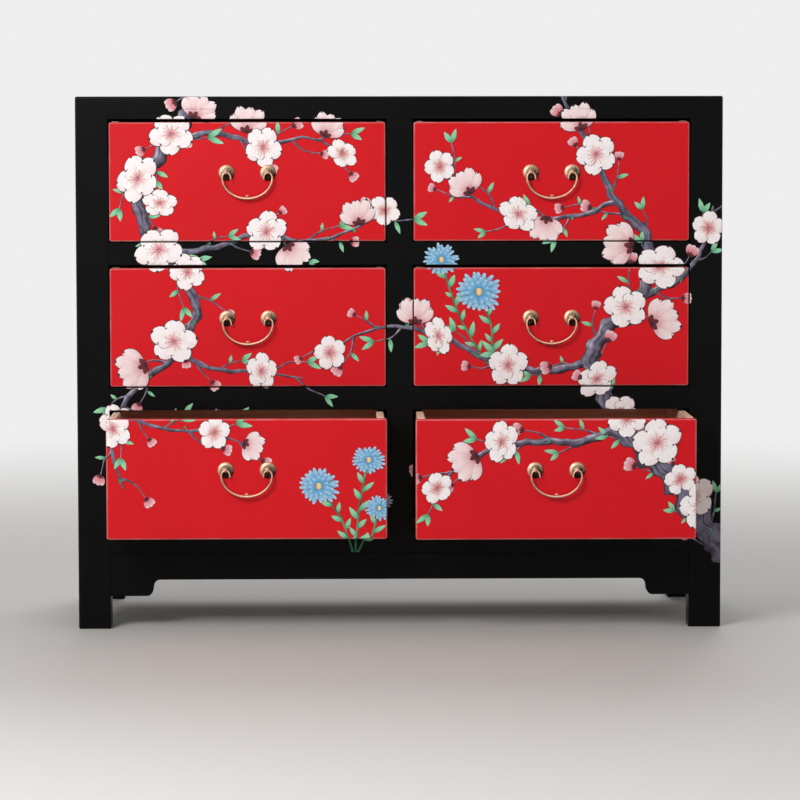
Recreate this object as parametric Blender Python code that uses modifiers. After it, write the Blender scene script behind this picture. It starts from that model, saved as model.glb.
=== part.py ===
"""Lacquered chest of six drawers, in two columns of three, on four corner posts.

Metres, +Z up, the front towards -Y. The origin is on the floor, in the middle of the ground
that the chest covers with its two lower drawers drawn out.
"""
import math

import bmesh
import bpy
from mathutils import Matrix, Vector

# Carcass, overall
WIDTH = 1.000
DEPTH = 0.400
HEIGHT = 0.826

# Top board and corner posts
TOP_THICKNESS = 0.020
TOP_EDGE_RADIUS = 0.003
POST_WIDTH = 0.050
POST_DEPTH = 0.044
POST_EDGE_RADIUS = 0.003

# Face frame: rails across the front, stiles between the two columns
RAIL_DEPTH = 0.030
TOP_RAIL_HEIGHT = 0.0146
MIDDLE_RAIL_HEIGHT = 0.0346
BOTTOM_RAIL_HEIGHT = 0.033
STILE_WIDTH = 0.040
TENON_THICKNESS = 0.010
TENON_LENGTH = 0.012
TENON_SHOULDER = 0.004

# Aprons under the bottom rail and between the side posts
LEG_CLEAR = 0.051
APRON_HEIGHT = 0.067
APRON_THICKNESS = 0.018
APRON_SETBACK = 0.002
APRON_RISE = 0.0255
OGEE_WIDTH = 0.020
FRONT_EAR = 0.0564
SIDE_EAR = 0.040

# Panels let into grooves in the posts
PANEL_GROOVE = 0.006
SIDE_PANEL_THICKNESS = 0.010
SIDE_PANEL_RECESS = 0.005
BACK_PANEL_THICKNESS = 0.006
BACK_PANEL_RECESS = 0.008

# Boards that the drawers run on, with their guide strips, and the partitions between columns
BOARD_THICKNESS = 0.010
BOARD_LAP = 0.008
GUIDE_HEIGHT = 0.018
GUIDE_SETBACK = 0.002
PARTITION_THICKNESS = 0.012

# Drawers
FRONT_GAP = 0.0015
FRONT_TOP_GAP = 0.0049
FRONT_THICKNESS = 0.018
FRONT_EDGE_RADIUS = 0.003
SIDE_THICKNESS = 0.011
SIDE_INSET = 0.004
SIDE_TOP_GAP = 0.0035
SIDE_TONGUE = 0.005
BOTTOM_THICKNESS = 0.005
BOTTOM_HEIGHT = 0.008
BOTTOM_GROOVE = 0.005
LOWER_LEFT_DRAWN = 0.115
LOWER_RIGHT_DRAWN = 0.130

# Pulls: two rosettes with an eye each, and a bail with hooked ends that swings in the eyes
PULL_SPACING = 0.064
PULL_ABOVE_MIDDLE = 0.014
ROSETTE_RADIUS = 0.0125
ROSETTE_RIM = 0.0012
ROSETTE_BEVEL = 0.0028
ROSETTE_SHOULDER = 0.0030
ROSETTE_DOME = 0.0058
STUD_RADIUS = 0.002
STUD_LENGTH = 0.013
EYE_SINK = 0.0008
EYE_WIRE_RADIUS = 0.0011
BAIL_WIRE_RADIUS = 0.0019
BAIL_SWELL = 0.0005
BAIL_SWELL_HALF_WIDTH = 0.0128
BAIL_BEAD = 0.0009
BAIL_DROP = 0.0398
HOOK_HALF_WIDTH = 0.0065
HOOK_HEIGHT = 0.008
HOOK_TIP = 0.003

# Clearances
JOINT_GAP = 0.0003
GUIDE_GAP = 0.001
EYE_GAP = 0.0007
BEHIND_DRAWER = 0.034

# Fineness of round shapes
ARC_STEPS = 4
EDGE_STEPS = 3
OGEE_STEPS = 6
ROSETTE_STEPS = 16
DOME_STEPS = 4
EYE_RING_STEPS = 14
EYE_WIRE_STEPS = 6
HOOK_STEPS = 8
BAIL_STEPS = 9
BAIL_WIRE_RESOLUTION = 2
WELD_DISTANCE = 0.000001
FLAT_ANGLE = math.radians(0.06)
SHARP_ANGLE = math.radians(40)

ROWS = ("lower", "middle", "upper")
COLUMNS = {"left": -1, "right": 1}
ENDS = {"front": -1, "rear": 1}
DRAWN_OUT = {"lower_left": LOWER_LEFT_DRAWN, "lower_right": LOWER_RIGHT_DRAWN}

# Places that follow from the sizes above
EYE_RADIUS = BAIL_WIRE_RADIUS + EYE_GAP + EYE_WIRE_RADIUS
EYE_HEIGHT = ROSETTE_DOME - EYE_SINK + EYE_RADIUS + EYE_WIRE_RADIUS
PULL_REACH = JOINT_GAP + EYE_HEIGHT + EYE_RADIUS + EYE_WIRE_RADIUS
FRONT = (max(DRAWN_OUT.values()) + PULL_REACH - DEPTH) / 2
BACK = FRONT + DEPTH
SIDE = WIDTH / 2
POST_INSIDE = SIDE - POST_WIDTH
PANEL_OUTSIDE = SIDE - SIDE_PANEL_RECESS
PANEL_INSIDE = PANEL_OUTSIDE - SIDE_PANEL_THICKNESS
BACK_PANEL_INSIDE = BACK - BACK_PANEL_RECESS - BACK_PANEL_THICKNESS
DRAWER_LENGTH = BACK_PANEL_INSIDE - FRONT - BEHIND_DRAWER
TOP_UNDERSIDE = HEIGHT - TOP_THICKNESS
APRON_TOP = LEG_CLEAR + APRON_HEIGHT
FRAME_HEIGHT = TOP_RAIL_HEIGHT + MIDDLE_RAIL_HEIGHT * (len(ROWS) - 1) + BOTTOM_RAIL_HEIGHT
OPENING_HEIGHT = (TOP_UNDERSIDE - APRON_TOP - FRAME_HEIGHT) / len(ROWS)
OPENING_WIDTH = POST_INSIDE - STILE_WIDTH / 2
COLUMN_MIDDLE = (POST_INSIDE + STILE_WIDTH / 2) / 2
ROW_PITCH = OPENING_HEIGHT + MIDDLE_RAIL_HEIGHT
FIRST_FLOOR = APRON_TOP + BOTTOM_RAIL_HEIGHT
FRONT_WIDTH = OPENING_WIDTH - 2 * FRONT_GAP
FRONT_TOP = OPENING_HEIGHT - FRONT_TOP_GAP
SIDE_OUTSIDE = FRONT_WIDTH / 2 - SIDE_INSET
SIDE_INSIDE = SIDE_OUTSIDE - SIDE_THICKNESS
SIDE_TOP = OPENING_HEIGHT - SIDE_TOP_GAP
PULL_HEIGHT = (FRONT_GAP + FRONT_TOP) / 2 + PULL_ABOVE_MIDDLE


def clear_scene():
    """Remove every object, so that the script can be run again."""
    for old in list(bpy.data.objects):
        bpy.data.objects.remove(old, do_unlink=True)


def new_collection(name):
    """A collection of the scene."""
    collection = bpy.data.collections.new(name)
    bpy.context.scene.collection.children.link(collection)
    return collection


def new_material(name, colour, roughness, metallic=0.0):
    """A Principled material with one colour and finish."""
    material = bpy.data.materials.new(name)
    material.use_nodes = True
    shader = material.node_tree.nodes["Principled BSDF"]
    shader.inputs["Base Color"].default_value = (*colour, 1.0)
    shader.inputs["Roughness"].default_value = roughness
    shader.inputs["Metallic"].default_value = metallic
    return material


clear_scene()
PARTS = new_collection("painted_chest")
CUTTERS = new_collection("cutters")
BLACK_LACQUER = new_material("black_lacquer", (0.006, 0.006, 0.007), 0.25)
RED_LACQUER = new_material("red_lacquer", (0.62, 0.013, 0.018), 0.28)
DRAWER_WOOD = new_material("drawer_wood", (0.62, 0.38, 0.22), 0.55)
CASE_WOOD = new_material("case_wood", (0.16, 0.08, 0.045), 0.65)
BRASS = new_material("brass", (0.48, 0.33, 0.17), 0.34, 1.0)


def block(x_range, y_range, z_range):
    """Two opposite corners of an upright box, from its ranges along the axes."""
    low, high = zip(sorted(x_range), sorted(y_range), sorted(z_range))
    return Vector(low), Vector(high)


def grown(corners, margin=JOINT_GAP):
    """The same box with a clearance on every side."""
    low, high = corners
    spread = Vector((margin, margin, margin))
    return low - spread, high + spread


def blocks_mesh(name, blocks):
    """A mesh of one or more boxes that don't touch each other."""
    shape = bmesh.new()
    for low, high in blocks:
        place = Matrix.Translation((low + high) / 2) @ Matrix.Diagonal((*(high - low), 1.0))
        bmesh.ops.create_cube(shape, size=1.0, matrix=place)
    mesh = bpy.data.meshes.new(name)
    shape.to_mesh(mesh)
    shape.free()
    return mesh


def new_part(name, data, material, location=(0, 0, 0), rotation=(0, 0, 0), parent=None):
    """An object of the chest, in its finish and at its place."""
    part = bpy.data.objects.new(name, data)
    PARTS.objects.link(part)
    part.location = location
    part.rotation_euler = rotation
    part.parent = parent
    if not data.materials:
        data.materials.append(material)
    return part


def new_cutter(name, mesh):
    """A helper object that cuts or is joined to a part, and isn't a part itself."""
    cutter = bpy.data.objects.new(name, mesh)
    CUTTERS.objects.link(cutter)
    cutter.hide_render = True
    cutter.display_type = "WIRE"
    return cutter


def block_part(name, corners, material):
    """A plain board: a box with its origin in its middle."""
    low, high = corners
    middle = (low + high) / 2
    return new_part(name, blocks_mesh(name, [(low - middle, high - middle)]), material, middle)


def combine(part, helper, operation):
    """Cut a helper out of a part, or join it on."""
    step = part.modifiers.new(helper.name, "BOOLEAN")
    step.operation = operation
    step.solver = "EXACT"
    step.object = helper


def house(part, name, blocks):
    """Cut a part so that each of the boxes fits into it with the joint clearance."""
    seats = [grown(corners) for corners in blocks]
    combine(part, new_cutter(name, blocks_mesh(name, seats)), "DIFFERENCE")


def join_block(part, name, corners):
    """Join a box on to a part."""
    combine(part, new_cutter(name, blocks_mesh(name, [corners])), "UNION")


def round_edges(part, radius):
    """Round every edge of a plain board."""
    step = part.modifiers.new("edges", "BEVEL")
    step.width = radius
    step.segments = EDGE_STEPS


def finished_mesh(part, name, flat_caps=False):
    """The mesh of an object with its modifiers carried out and its loose caps welded.

    flat_caps makes one face of each flat side, in place of the triangles that fill it.
    """
    bpy.context.view_layer.update()
    graph = bpy.context.evaluated_depsgraph_get()
    mesh = bpy.data.meshes.new_from_object(part.evaluated_get(graph))
    mesh.name = name
    shape = bmesh.new()
    shape.from_mesh(mesh)
    bmesh.ops.remove_doubles(shape, verts=shape.verts, dist=WELD_DISTANCE)
    if flat_caps:
        bmesh.ops.dissolve_degenerate(shape, dist=WELD_DISTANCE, edges=shape.edges)
        bmesh.ops.dissolve_limit(shape, angle_limit=FLAT_ANGLE, verts=shape.verts, edges=shape.edges)
    shape.to_mesh(mesh)
    shape.free()
    return mesh


def outline_mesh(name, points, thickness):
    """A flat outline in its own XY plane, given a thickness that is centred on the plane."""
    curve = bpy.data.curves.new(name, "CURVE")
    curve.dimensions = "2D"
    curve.fill_mode = "BOTH"
    curve.extrude = thickness / 2
    spline = curve.splines.new("POLY")
    spline.points.add(len(points) - 1)
    for point, (x, y) in zip(spline.points, points):
        point.co = (x, y, 0.0, 1.0)
    spline.use_cyclic_u = True
    outline = bpy.data.objects.new(name, curve)
    CUTTERS.objects.link(outline)
    mesh = finished_mesh(outline, name, flat_caps=True)
    bpy.data.objects.remove(outline)
    bpy.data.curves.remove(curve)
    return mesh


def shade_round(mesh):
    """Smooth shading, with sharp edges kept at corners."""
    mesh.shade_smooth()
    mesh.set_sharp_from_angle(angle=SHARP_ANGLE)


def row_floor(row):
    """Height of the board that a row of drawers runs on."""
    return FIRST_FLOOR + row * ROW_PITCH


def tenon(corners, axis):
    """The bar through a rail or stile that stands out of both its ends as tenons."""
    low, high = corners
    low, high = low.copy(), high.copy()
    middle = (low.y + high.y) / 2
    low.y, high.y = middle - TENON_THICKNESS / 2, middle + TENON_THICKNESS / 2
    across = 2 - axis
    low[across] += TENON_SHOULDER
    high[across] -= TENON_SHOULDER
    low[axis] -= TENON_LENGTH
    high[axis] += TENON_LENGTH
    return low, high


def rail_blocks():
    """The four rails, from the bottom up, between the front posts."""
    tops = [row_floor(row) for row in range(len(ROWS))] + [TOP_UNDERSIDE - JOINT_GAP]
    heights = [BOTTOM_RAIL_HEIGHT - JOINT_GAP]
    heights += [MIDDLE_RAIL_HEIGHT] * (len(ROWS) - 1)
    heights += [TOP_RAIL_HEIGHT - JOINT_GAP]
    reach = POST_INSIDE - JOINT_GAP
    y_range = (FRONT, FRONT + RAIL_DEPTH)
    return [block((-reach, reach), y_range, (top - height, top))
            for top, height in zip(tops, heights)]


def stile_blocks():
    """The three stiles, from the bottom up, between the rails."""
    x_range = (-STILE_WIDTH / 2, STILE_WIDTH / 2)
    y_range = (FRONT, FRONT + RAIL_DEPTH)
    blocks = []
    for row in range(len(ROWS)):
        floor = row_floor(row)
        blocks.append(block(x_range, y_range, (floor + JOINT_GAP, floor + OPENING_HEIGHT - JOINT_GAP)))
    return blocks


def side_panel_block(side):
    """A side panel, with its two upright edges inside the grooves of the posts."""
    reach = POST_DEPTH - PANEL_GROOVE + JOINT_GAP
    return block((side * PANEL_INSIDE, side * PANEL_OUTSIDE), (FRONT + reach, BACK - reach),
                 (APRON_TOP + JOINT_GAP, TOP_UNDERSIDE - JOINT_GAP))


def side_apron_block(side):
    """The box round a side apron, with its ends inside the posts."""
    outside = SIDE - APRON_SETBACK
    reach = POST_DEPTH - PANEL_GROOVE + JOINT_GAP
    return block((side * (outside - APRON_THICKNESS), side * outside), (FRONT + reach, BACK - reach),
                 (LEG_CLEAR, APRON_TOP))


def front_apron_block():
    """The box round the front apron, with its ends inside the posts."""
    reach = POST_INSIDE + PANEL_GROOVE - JOINT_GAP
    y_front = FRONT + APRON_SETBACK
    return block((-reach, reach), (y_front, y_front + APRON_THICKNESS), (LEG_CLEAR, APRON_TOP))


def back_panel_block():
    """The back panel, with its two upright edges inside the grooves of the rear posts."""
    reach = POST_INSIDE + PANEL_GROOVE - JOINT_GAP
    return block((-reach, reach), (BACK_PANEL_INSIDE, BACK_PANEL_INSIDE + BACK_PANEL_THICKNESS),
                 (APRON_TOP + JOINT_GAP, TOP_UNDERSIDE - JOINT_GAP))


def board_lap_block(row):
    """The front edge of a drawer board, where it lies in the rail's rebate."""
    reach = POST_INSIDE - JOINT_GAP
    floor = row_floor(row)
    return block((-reach, reach), (FRONT + RAIL_DEPTH - BOARD_LAP, FRONT + POST_DEPTH),
                 (floor - BOARD_THICKNESS, floor))


def post_block(side, end):
    """The box round a post; side is -1 or 1 for left or right, end is -1 or 1 for front or rear."""
    y_outside = FRONT if end < 0 else BACK
    return block((side * POST_INSIDE, side * SIDE), (y_outside, y_outside - end * POST_DEPTH),
                 (0.0, TOP_UNDERSIDE - JOINT_GAP))


def post_outline(side, end):
    """Plan of a post about its middle: a rectangle with its outer corner rounded."""
    half_x, half_y = POST_WIDTH / 2, POST_DEPTH / 2
    centre_x, centre_y = half_x - POST_EDGE_RADIUS, half_y - POST_EDGE_RADIUS
    points = [(-half_x, half_y), (-half_x, -half_y), (half_x, -half_y)]
    for step in range(ARC_STEPS + 1):
        angle = step / ARC_STEPS * math.pi / 2
        points.append((centre_x + POST_EDGE_RADIUS * math.cos(angle),
                       centre_y + POST_EDGE_RADIUS * math.sin(angle)))
    points = [(side * x, end * y) for x, y in points]
    return points if side * end > 0 else points[::-1]


def make_posts():
    """Four corner posts that stand on the floor and carry the top board."""
    rails = [tenon(corners, 0) for corners in rail_blocks()]
    for side_name, side in COLUMNS.items():
        for end_name, end in ENDS.items():
            name = f"{end_name}_{side_name}_post"
            low, high = post_block(side, end)
            mesh = outline_mesh(name, post_outline(side, end), high.z - low.z)
            post = new_part(name, mesh, BLACK_LACQUER, (low + high) / 2)
            fitted = rails + [front_apron_block()] if end < 0 else [back_panel_block()]
            house(post, f"{name}_mortises", fitted + [side_panel_block(side)])
            house(post, f"{name}_apron_slot", [side_apron_block(side)])


def make_face_frame():
    """Rails and stiles, joined by tenons, with a rebate behind each rail for its drawer board."""
    stiles = stile_blocks()
    stile_bars = [tenon(corners, 2) for corners in stiles]
    rail_names = ("bottom_rail", "lower_rail", "upper_rail", "top_rail")
    for index, (name, corners) in enumerate(zip(rail_names, rail_blocks())):
        rail = block_part(name, corners, BLACK_LACQUER)
        join_block(rail, f"{name}_tenons", tenon(corners, 0))
        touching = stile_bars[max(index - 1, 0):index + 1]
        for bar in touching:
            house(rail, f"{name}_mortise", [bar])
        if index < len(ROWS):
            house(rail, f"{name}_rebate", [board_lap_block(index)])
    for row_name, corners, bar in zip(ROWS, stiles, stile_bars):
        stile = block_part(f"{row_name}_stile", corners, BLACK_LACQUER)
        join_block(stile, f"{row_name}_stile_tenons", bar)


def ogee(low_x, high_x):
    """The S-curve of an apron's edge, from the ear's lower edge up to the raised middle.

    Two quarter ellipses that meet upright, half way up: the first is hollow, the second round.
    """
    middle = (low_x + high_x) / 2
    half = APRON_RISE / 2
    angles = [step / OGEE_STEPS * math.pi / 2 for step in range(OGEE_STEPS + 1)]
    first = [(low_x + (middle - low_x) * math.sin(a), half * (1 - math.cos(a))) for a in angles]
    second = [(middle + (high_x - middle) * (1 - math.cos(a)), half + half * math.sin(a))
              for a in angles]
    return first + second[1:]


def apron_mesh(name, clear, ear):
    """An apron's outline, seen square on: two ears, an ogee in from each, and a raised middle."""
    half = clear / 2 + PANEL_GROOVE - JOINT_GAP
    ear_end = clear / 2 - ear
    right = ogee(ear_end, ear_end - OGEE_WIDTH)
    left = [(-x, y) for x, y in right]
    points = [(half, APRON_HEIGHT), (-half, APRON_HEIGHT), (-half, 0.0)]
    points += left + right[::-1] + [(half, 0.0)]
    shifted = [(x, y - APRON_HEIGHT / 2) for x, y in points]
    return outline_mesh(name, shifted, APRON_THICKNESS)


def make_aprons():
    """The shaped boards under the bottom rail and between the posts at the sides."""
    low, high = front_apron_block()
    mesh = apron_mesh("front_apron", 2 * POST_INSIDE, FRONT_EAR)
    upright = math.pi / 2
    new_part("front_apron", mesh, BLACK_LACQUER, (low + high) / 2, (upright, 0, 0))
    for side_name, side in COLUMNS.items():
        name = f"{side_name}_apron"
        low, high = side_apron_block(side)
        mesh = apron_mesh(name, DEPTH - 2 * POST_DEPTH, SIDE_EAR)
        new_part(name, mesh, BLACK_LACQUER, (low + high) / 2, (upright, 0, upright))


def make_panels():
    """Top board, side panels and back panel."""
    top = block_part("top_board", block((-SIDE, SIDE), (FRONT, BACK), (TOP_UNDERSIDE, HEIGHT)),
                     BLACK_LACQUER)
    round_edges(top, TOP_EDGE_RADIUS)
    for side_name, side in COLUMNS.items():
        block_part(f"{side_name}_panel", side_panel_block(side), BLACK_LACQUER)
    block_part("back_panel", back_panel_block(), BLACK_LACQUER)


def make_drawer_boards():
    """A board under each row, with strips that guide the drawers, and a partition between columns.

    A board is lapped on to the rail at the front and notched round the posts.
    """
    reach = PANEL_INSIDE - JOINT_GAP
    y_board = (FRONT + RAIL_DEPTH - BOARD_LAP, BACK_PANEL_INSIDE - JOINT_GAP)
    posts = [post_block(side, end) for side in COLUMNS.values() for end in ENDS.values()]
    guide_face = COLUMN_MIDDLE + SIDE_OUTSIDE + GUIDE_GAP
    centre_face = COLUMN_MIDDLE - SIDE_OUTSIDE - GUIDE_GAP
    wide = PANEL_INSIDE - GUIDE_SETBACK
    y_outer = (FRONT + POST_DEPTH + GUIDE_SETBACK, BACK - POST_DEPTH - GUIDE_SETBACK)
    y_centre = (FRONT + RAIL_DEPTH + JOINT_GAP, BACK_PANEL_INSIDE - GUIDE_SETBACK)
    half = PARTITION_THICKNESS / 2
    for row, row_name in enumerate(ROWS):
        floor = row_floor(row)
        board = block_part(f"{row_name}_drawer_board",
                           block((-reach, reach), y_board, (floor - BOARD_THICKNESS, floor)), CASE_WOOD)
        house(board, f"{row_name}_board_notches", posts)
        strip_z = (floor - BOARD_THICKNESS / 2, floor + GUIDE_HEIGHT)
        join_block(board, f"{row_name}_centre_guide",
                   block((-centre_face, centre_face), y_centre, strip_z))
        for side_name, side in COLUMNS.items():
            join_block(board, f"{row_name}_{side_name}_guide",
                       block((side * guide_face, side * wide), y_outer, strip_z))
        last = row == len(ROWS) - 1
        ceiling = TOP_UNDERSIDE if last else row_floor(row + 1) - BOARD_THICKNESS
        partition = block((-half, half), y_centre,
                          (floor + GUIDE_HEIGHT + JOINT_GAP, ceiling - JOINT_GAP))
        block_part(f"{row_name}_partition", partition, CASE_WOOD)


def drawer_bottom_block():
    """A drawer's bottom, with its four edges inside the grooves of the front, sides and back."""
    reach = SIDE_INSIDE + BOTTOM_GROOVE - JOINT_GAP
    y_front = FRONT_THICKNESS - BOTTOM_GROOVE + JOINT_GAP
    y_back = DRAWER_LENGTH - SIDE_THICKNESS + BOTTOM_GROOVE - JOINT_GAP
    z_low = JOINT_GAP + BOTTOM_HEIGHT
    return block((-reach, reach), (y_front, y_back), (z_low, z_low + BOTTOM_THICKNESS))


def drawer_front_mesh():
    """A front with rounded edges, grooved for the sides and bottom, and bored for the pull's studs.

    Its origin, and a drawer's, is at the height of the drawer board, under the middle of the face.
    """
    half = FRONT_WIDTH / 2
    front = block_part("drawer_front", block((-half, half), (0, FRONT_THICKNESS), (FRONT_GAP, FRONT_TOP)),
                       RED_LACQUER)
    round_edges(front, FRONT_EDGE_RADIUS)
    y_groove = (FRONT_THICKNESS - SIDE_TONGUE, 2 * FRONT_THICKNESS)
    sides = [block((side * SIDE_INSIDE, side * SIDE_OUTSIDE), y_groove, (-FRONT_GAP, SIDE_TOP))
             for side in COLUMNS.values()]
    house(front, "side_grooves", sides)
    house(front, "bottom_groove", [drawer_bottom_block()])
    combine(front, new_cutter("stud_holes", stud_holes_mesh()), "DIFFERENCE")
    mesh = finished_mesh(front, "drawer_front")
    mesh.transform(Matrix.Translation(front.location))
    bpy.data.objects.remove(front)
    return mesh


def stud_holes_mesh():
    """Two blind holes in a drawer front, for the studs of its rosettes."""
    shape = bmesh.new()
    depth = STUD_LENGTH + 2 * JOINT_GAP
    lie_down = Matrix.Rotation(math.pi / 2, 4, "X")
    for side in COLUMNS.values():
        middle = Vector((side * PULL_SPACING / 2, 0.0, PULL_HEIGHT))
        bmesh.ops.create_cone(shape, cap_ends=True, segments=ROSETTE_STEPS, depth=2 * depth,
                              radius1=STUD_RADIUS + JOINT_GAP, radius2=STUD_RADIUS + JOINT_GAP,
                              matrix=Matrix.Translation(middle) @ lie_down)
    mesh = bpy.data.meshes.new("stud_holes")
    shape.to_mesh(mesh)
    shape.free()
    return mesh


def drawer_box_mesh():
    """Two sides and a back, glued up as one, grooved all round for the bottom."""
    front_end = FRONT_THICKNESS - SIDE_TONGUE
    inner_back = DRAWER_LENGTH - SIDE_THICKNESS
    right = [(SIDE_INSIDE, inner_back), (SIDE_INSIDE, front_end),
             (SIDE_OUTSIDE, front_end), (SIDE_OUTSIDE, DRAWER_LENGTH)]
    points = right + [(-x, y) for x, y in right[::-1]]
    height = SIDE_TOP - JOINT_GAP
    box = new_part("drawer_box", outline_mesh("drawer_box", points, height), DRAWER_WOOD,
                   (0, 0, JOINT_GAP + height / 2))
    house(box, "box_groove", [drawer_bottom_block()])
    mesh = finished_mesh(box, "drawer_box")
    mesh.transform(Matrix.Translation(box.location))
    bpy.data.objects.remove(box)
    return mesh


def rosette_profile():
    """Half section of a rosette, from the top of its dome down its outer side to the end of its stud.

    The dome is part of a circle; a bevel runs from it down to a thin upright rim.
    """
    dome_edge = ROSETTE_RADIUS - ROSETTE_BEVEL
    rise = ROSETTE_DOME - ROSETTE_SHOULDER
    ball = (dome_edge ** 2 + rise ** 2) / (2 * rise)
    spread = math.asin(dome_edge / ball)
    points = []
    for step in range(DOME_STEPS + 1):
        angle = spread * step / DOME_STEPS
        points.append((ball * math.sin(angle), ROSETTE_DOME - ball * (1 - math.cos(angle))))
    points += [(ROSETTE_RADIUS, ROSETTE_RIM), (ROSETTE_RADIUS, 0.0), (STUD_RADIUS, 0.0),
               (STUD_RADIUS, -STUD_LENGTH), (0.0, -STUD_LENGTH)]
    return points


def rosette_mesh():
    """A turned, domed disc with a stud behind it and a round eye in front, all of one piece."""
    profile = rosette_profile()
    mesh = bpy.data.meshes.new("rosette")
    mesh.from_pydata([(r, 0, h) for r, h in profile],
                     [(i, i + 1) for i in range(len(profile) - 1)], [])
    rosette = new_part("rosette", mesh, BRASS)
    turn = rosette.modifiers.new("turn", "SCREW")
    turn.steps = ROSETTE_STEPS
    turn.render_steps = ROSETTE_STEPS
    turn.use_merge_vertices = True
    turn.merge_threshold = WELD_DISTANCE
    bpy.ops.mesh.primitive_torus_add(major_radius=EYE_RADIUS, minor_radius=EYE_WIRE_RADIUS,
                                     major_segments=EYE_RING_STEPS, minor_segments=EYE_WIRE_STEPS,
                                     location=(0, 0, EYE_HEIGHT), rotation=(0, math.pi / 2, 0))
    eye = new_cutter("eye", bpy.context.object.data)
    eye.matrix_world = bpy.context.object.matrix_world
    bpy.data.objects.remove(bpy.context.object)
    combine(rosette, eye, "UNION")
    finished = finished_mesh(rosette, "rosette")
    finished.transform(Matrix.Rotation(math.pi / 2, 4, "X"))
    shade_round(finished)
    bpy.data.objects.remove(rosette)
    return finished


def bail_path():
    """Points and wire radii along a bail, from one hooked end to the other, about its axis.

    Each end is a hook: a short tip on the inner side, half an ellipse over the eye, and the arm
    on the outer side. Half a wide ellipse joins the arms below. The wire swells towards the
    middle, where it has a bead.
    """
    half = PULL_SPACING / 2
    arm = half + HOOK_HALF_WIDTH
    depth = BAIL_DROP - HOOK_HEIGHT
    side = [(half - HOOK_HALF_WIDTH, -HOOK_HEIGHT - HOOK_TIP)]
    for step in range(HOOK_STEPS + 1):
        angle = math.pi * step / HOOK_STEPS
        side.append((half - HOOK_HALF_WIDTH * math.cos(angle),
                     -HOOK_HEIGHT + HOOK_HEIGHT * math.sin(angle)))
    bead = BAIL_WIRE_RADIUS / arm
    angles = [math.pi / 2 * step / BAIL_STEPS for step in range(1, BAIL_STEPS)]
    angles += [math.pi / 2 - 2 * bead, math.pi / 2 - bead]
    side += [(arm * math.cos(a), -HOOK_HEIGHT - depth * math.sin(a)) for a in angles]
    points = [(-x, z) for x, z in side] + [(0.0, -BAIL_DROP)] + side[::-1]
    radii = [BAIL_WIRE_RADIUS + BAIL_SWELL * math.exp(-(x / BAIL_SWELL_HALF_WIDTH) ** 2)
             + BAIL_BEAD * math.exp(-(x / BAIL_WIRE_RADIUS) ** 2) for x, z in points]
    return points, radii


def bail_curve():
    """The bail as a round wire bent along its path."""
    points, radii = bail_path()
    curve = bpy.data.curves.new("bail", "CURVE")
    curve.dimensions = "3D"
    curve.bevel_depth = BAIL_WIRE_RADIUS
    curve.bevel_resolution = BAIL_WIRE_RESOLUTION
    curve.use_fill_caps = True
    spline = curve.splines.new("POLY")
    spline.points.add(len(points) - 1)
    for point, (x, z), radius in zip(spline.points, points, radii):
        point.co = (x, 0.0, z, 1.0)
        point.radius = radius / BAIL_WIRE_RADIUS
    return curve


def make_drawers():
    """Six drawers with their pulls, each on an empty that lies on its slide's axis."""
    front, box = drawer_front_mesh(), drawer_box_mesh()
    bottom = blocks_mesh("drawer_bottom", [drawer_bottom_block()])
    rosette, bail = rosette_mesh(), bail_curve()
    for row, row_name in enumerate(ROWS):
        for side_name, side in COLUMNS.items():
            name = f"{row_name}_{side_name}"
            slide = bpy.data.objects.new(f"{name}_slide", None)
            PARTS.objects.link(slide)
            slide.location = (side * COLUMN_MIDDLE, FRONT - DRAWN_OUT.get(name, 0.0), row_floor(row))
            new_part(f"{name}_drawer_front", front, RED_LACQUER, parent=slide)
            new_part(f"{name}_drawer_box", box, DRAWER_WOOD, parent=slide)
            new_part(f"{name}_drawer_bottom", bottom, DRAWER_WOOD, parent=slide)
            for eye_name, eye_side in COLUMNS.items():
                place = (eye_side * PULL_SPACING / 2, -JOINT_GAP, PULL_HEIGHT)
                new_part(f"{name}_rosette_{eye_name}", rosette, BRASS, place, parent=slide)
            axis = (0.0, -JOINT_GAP - EYE_HEIGHT, PULL_HEIGHT)
            new_part(f"{name}_bail", bail, BRASS, axis, parent=slide)


make_posts()
make_face_frame()
make_aprons()
make_panels()
make_drawer_boards()
make_drawers()
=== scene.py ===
"""Looks of a lacquered chest of six drawers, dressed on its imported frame.

Metres, +Z up, the front towards -Y. The two lower drawers stand part open at rest.
"""
import math

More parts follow.
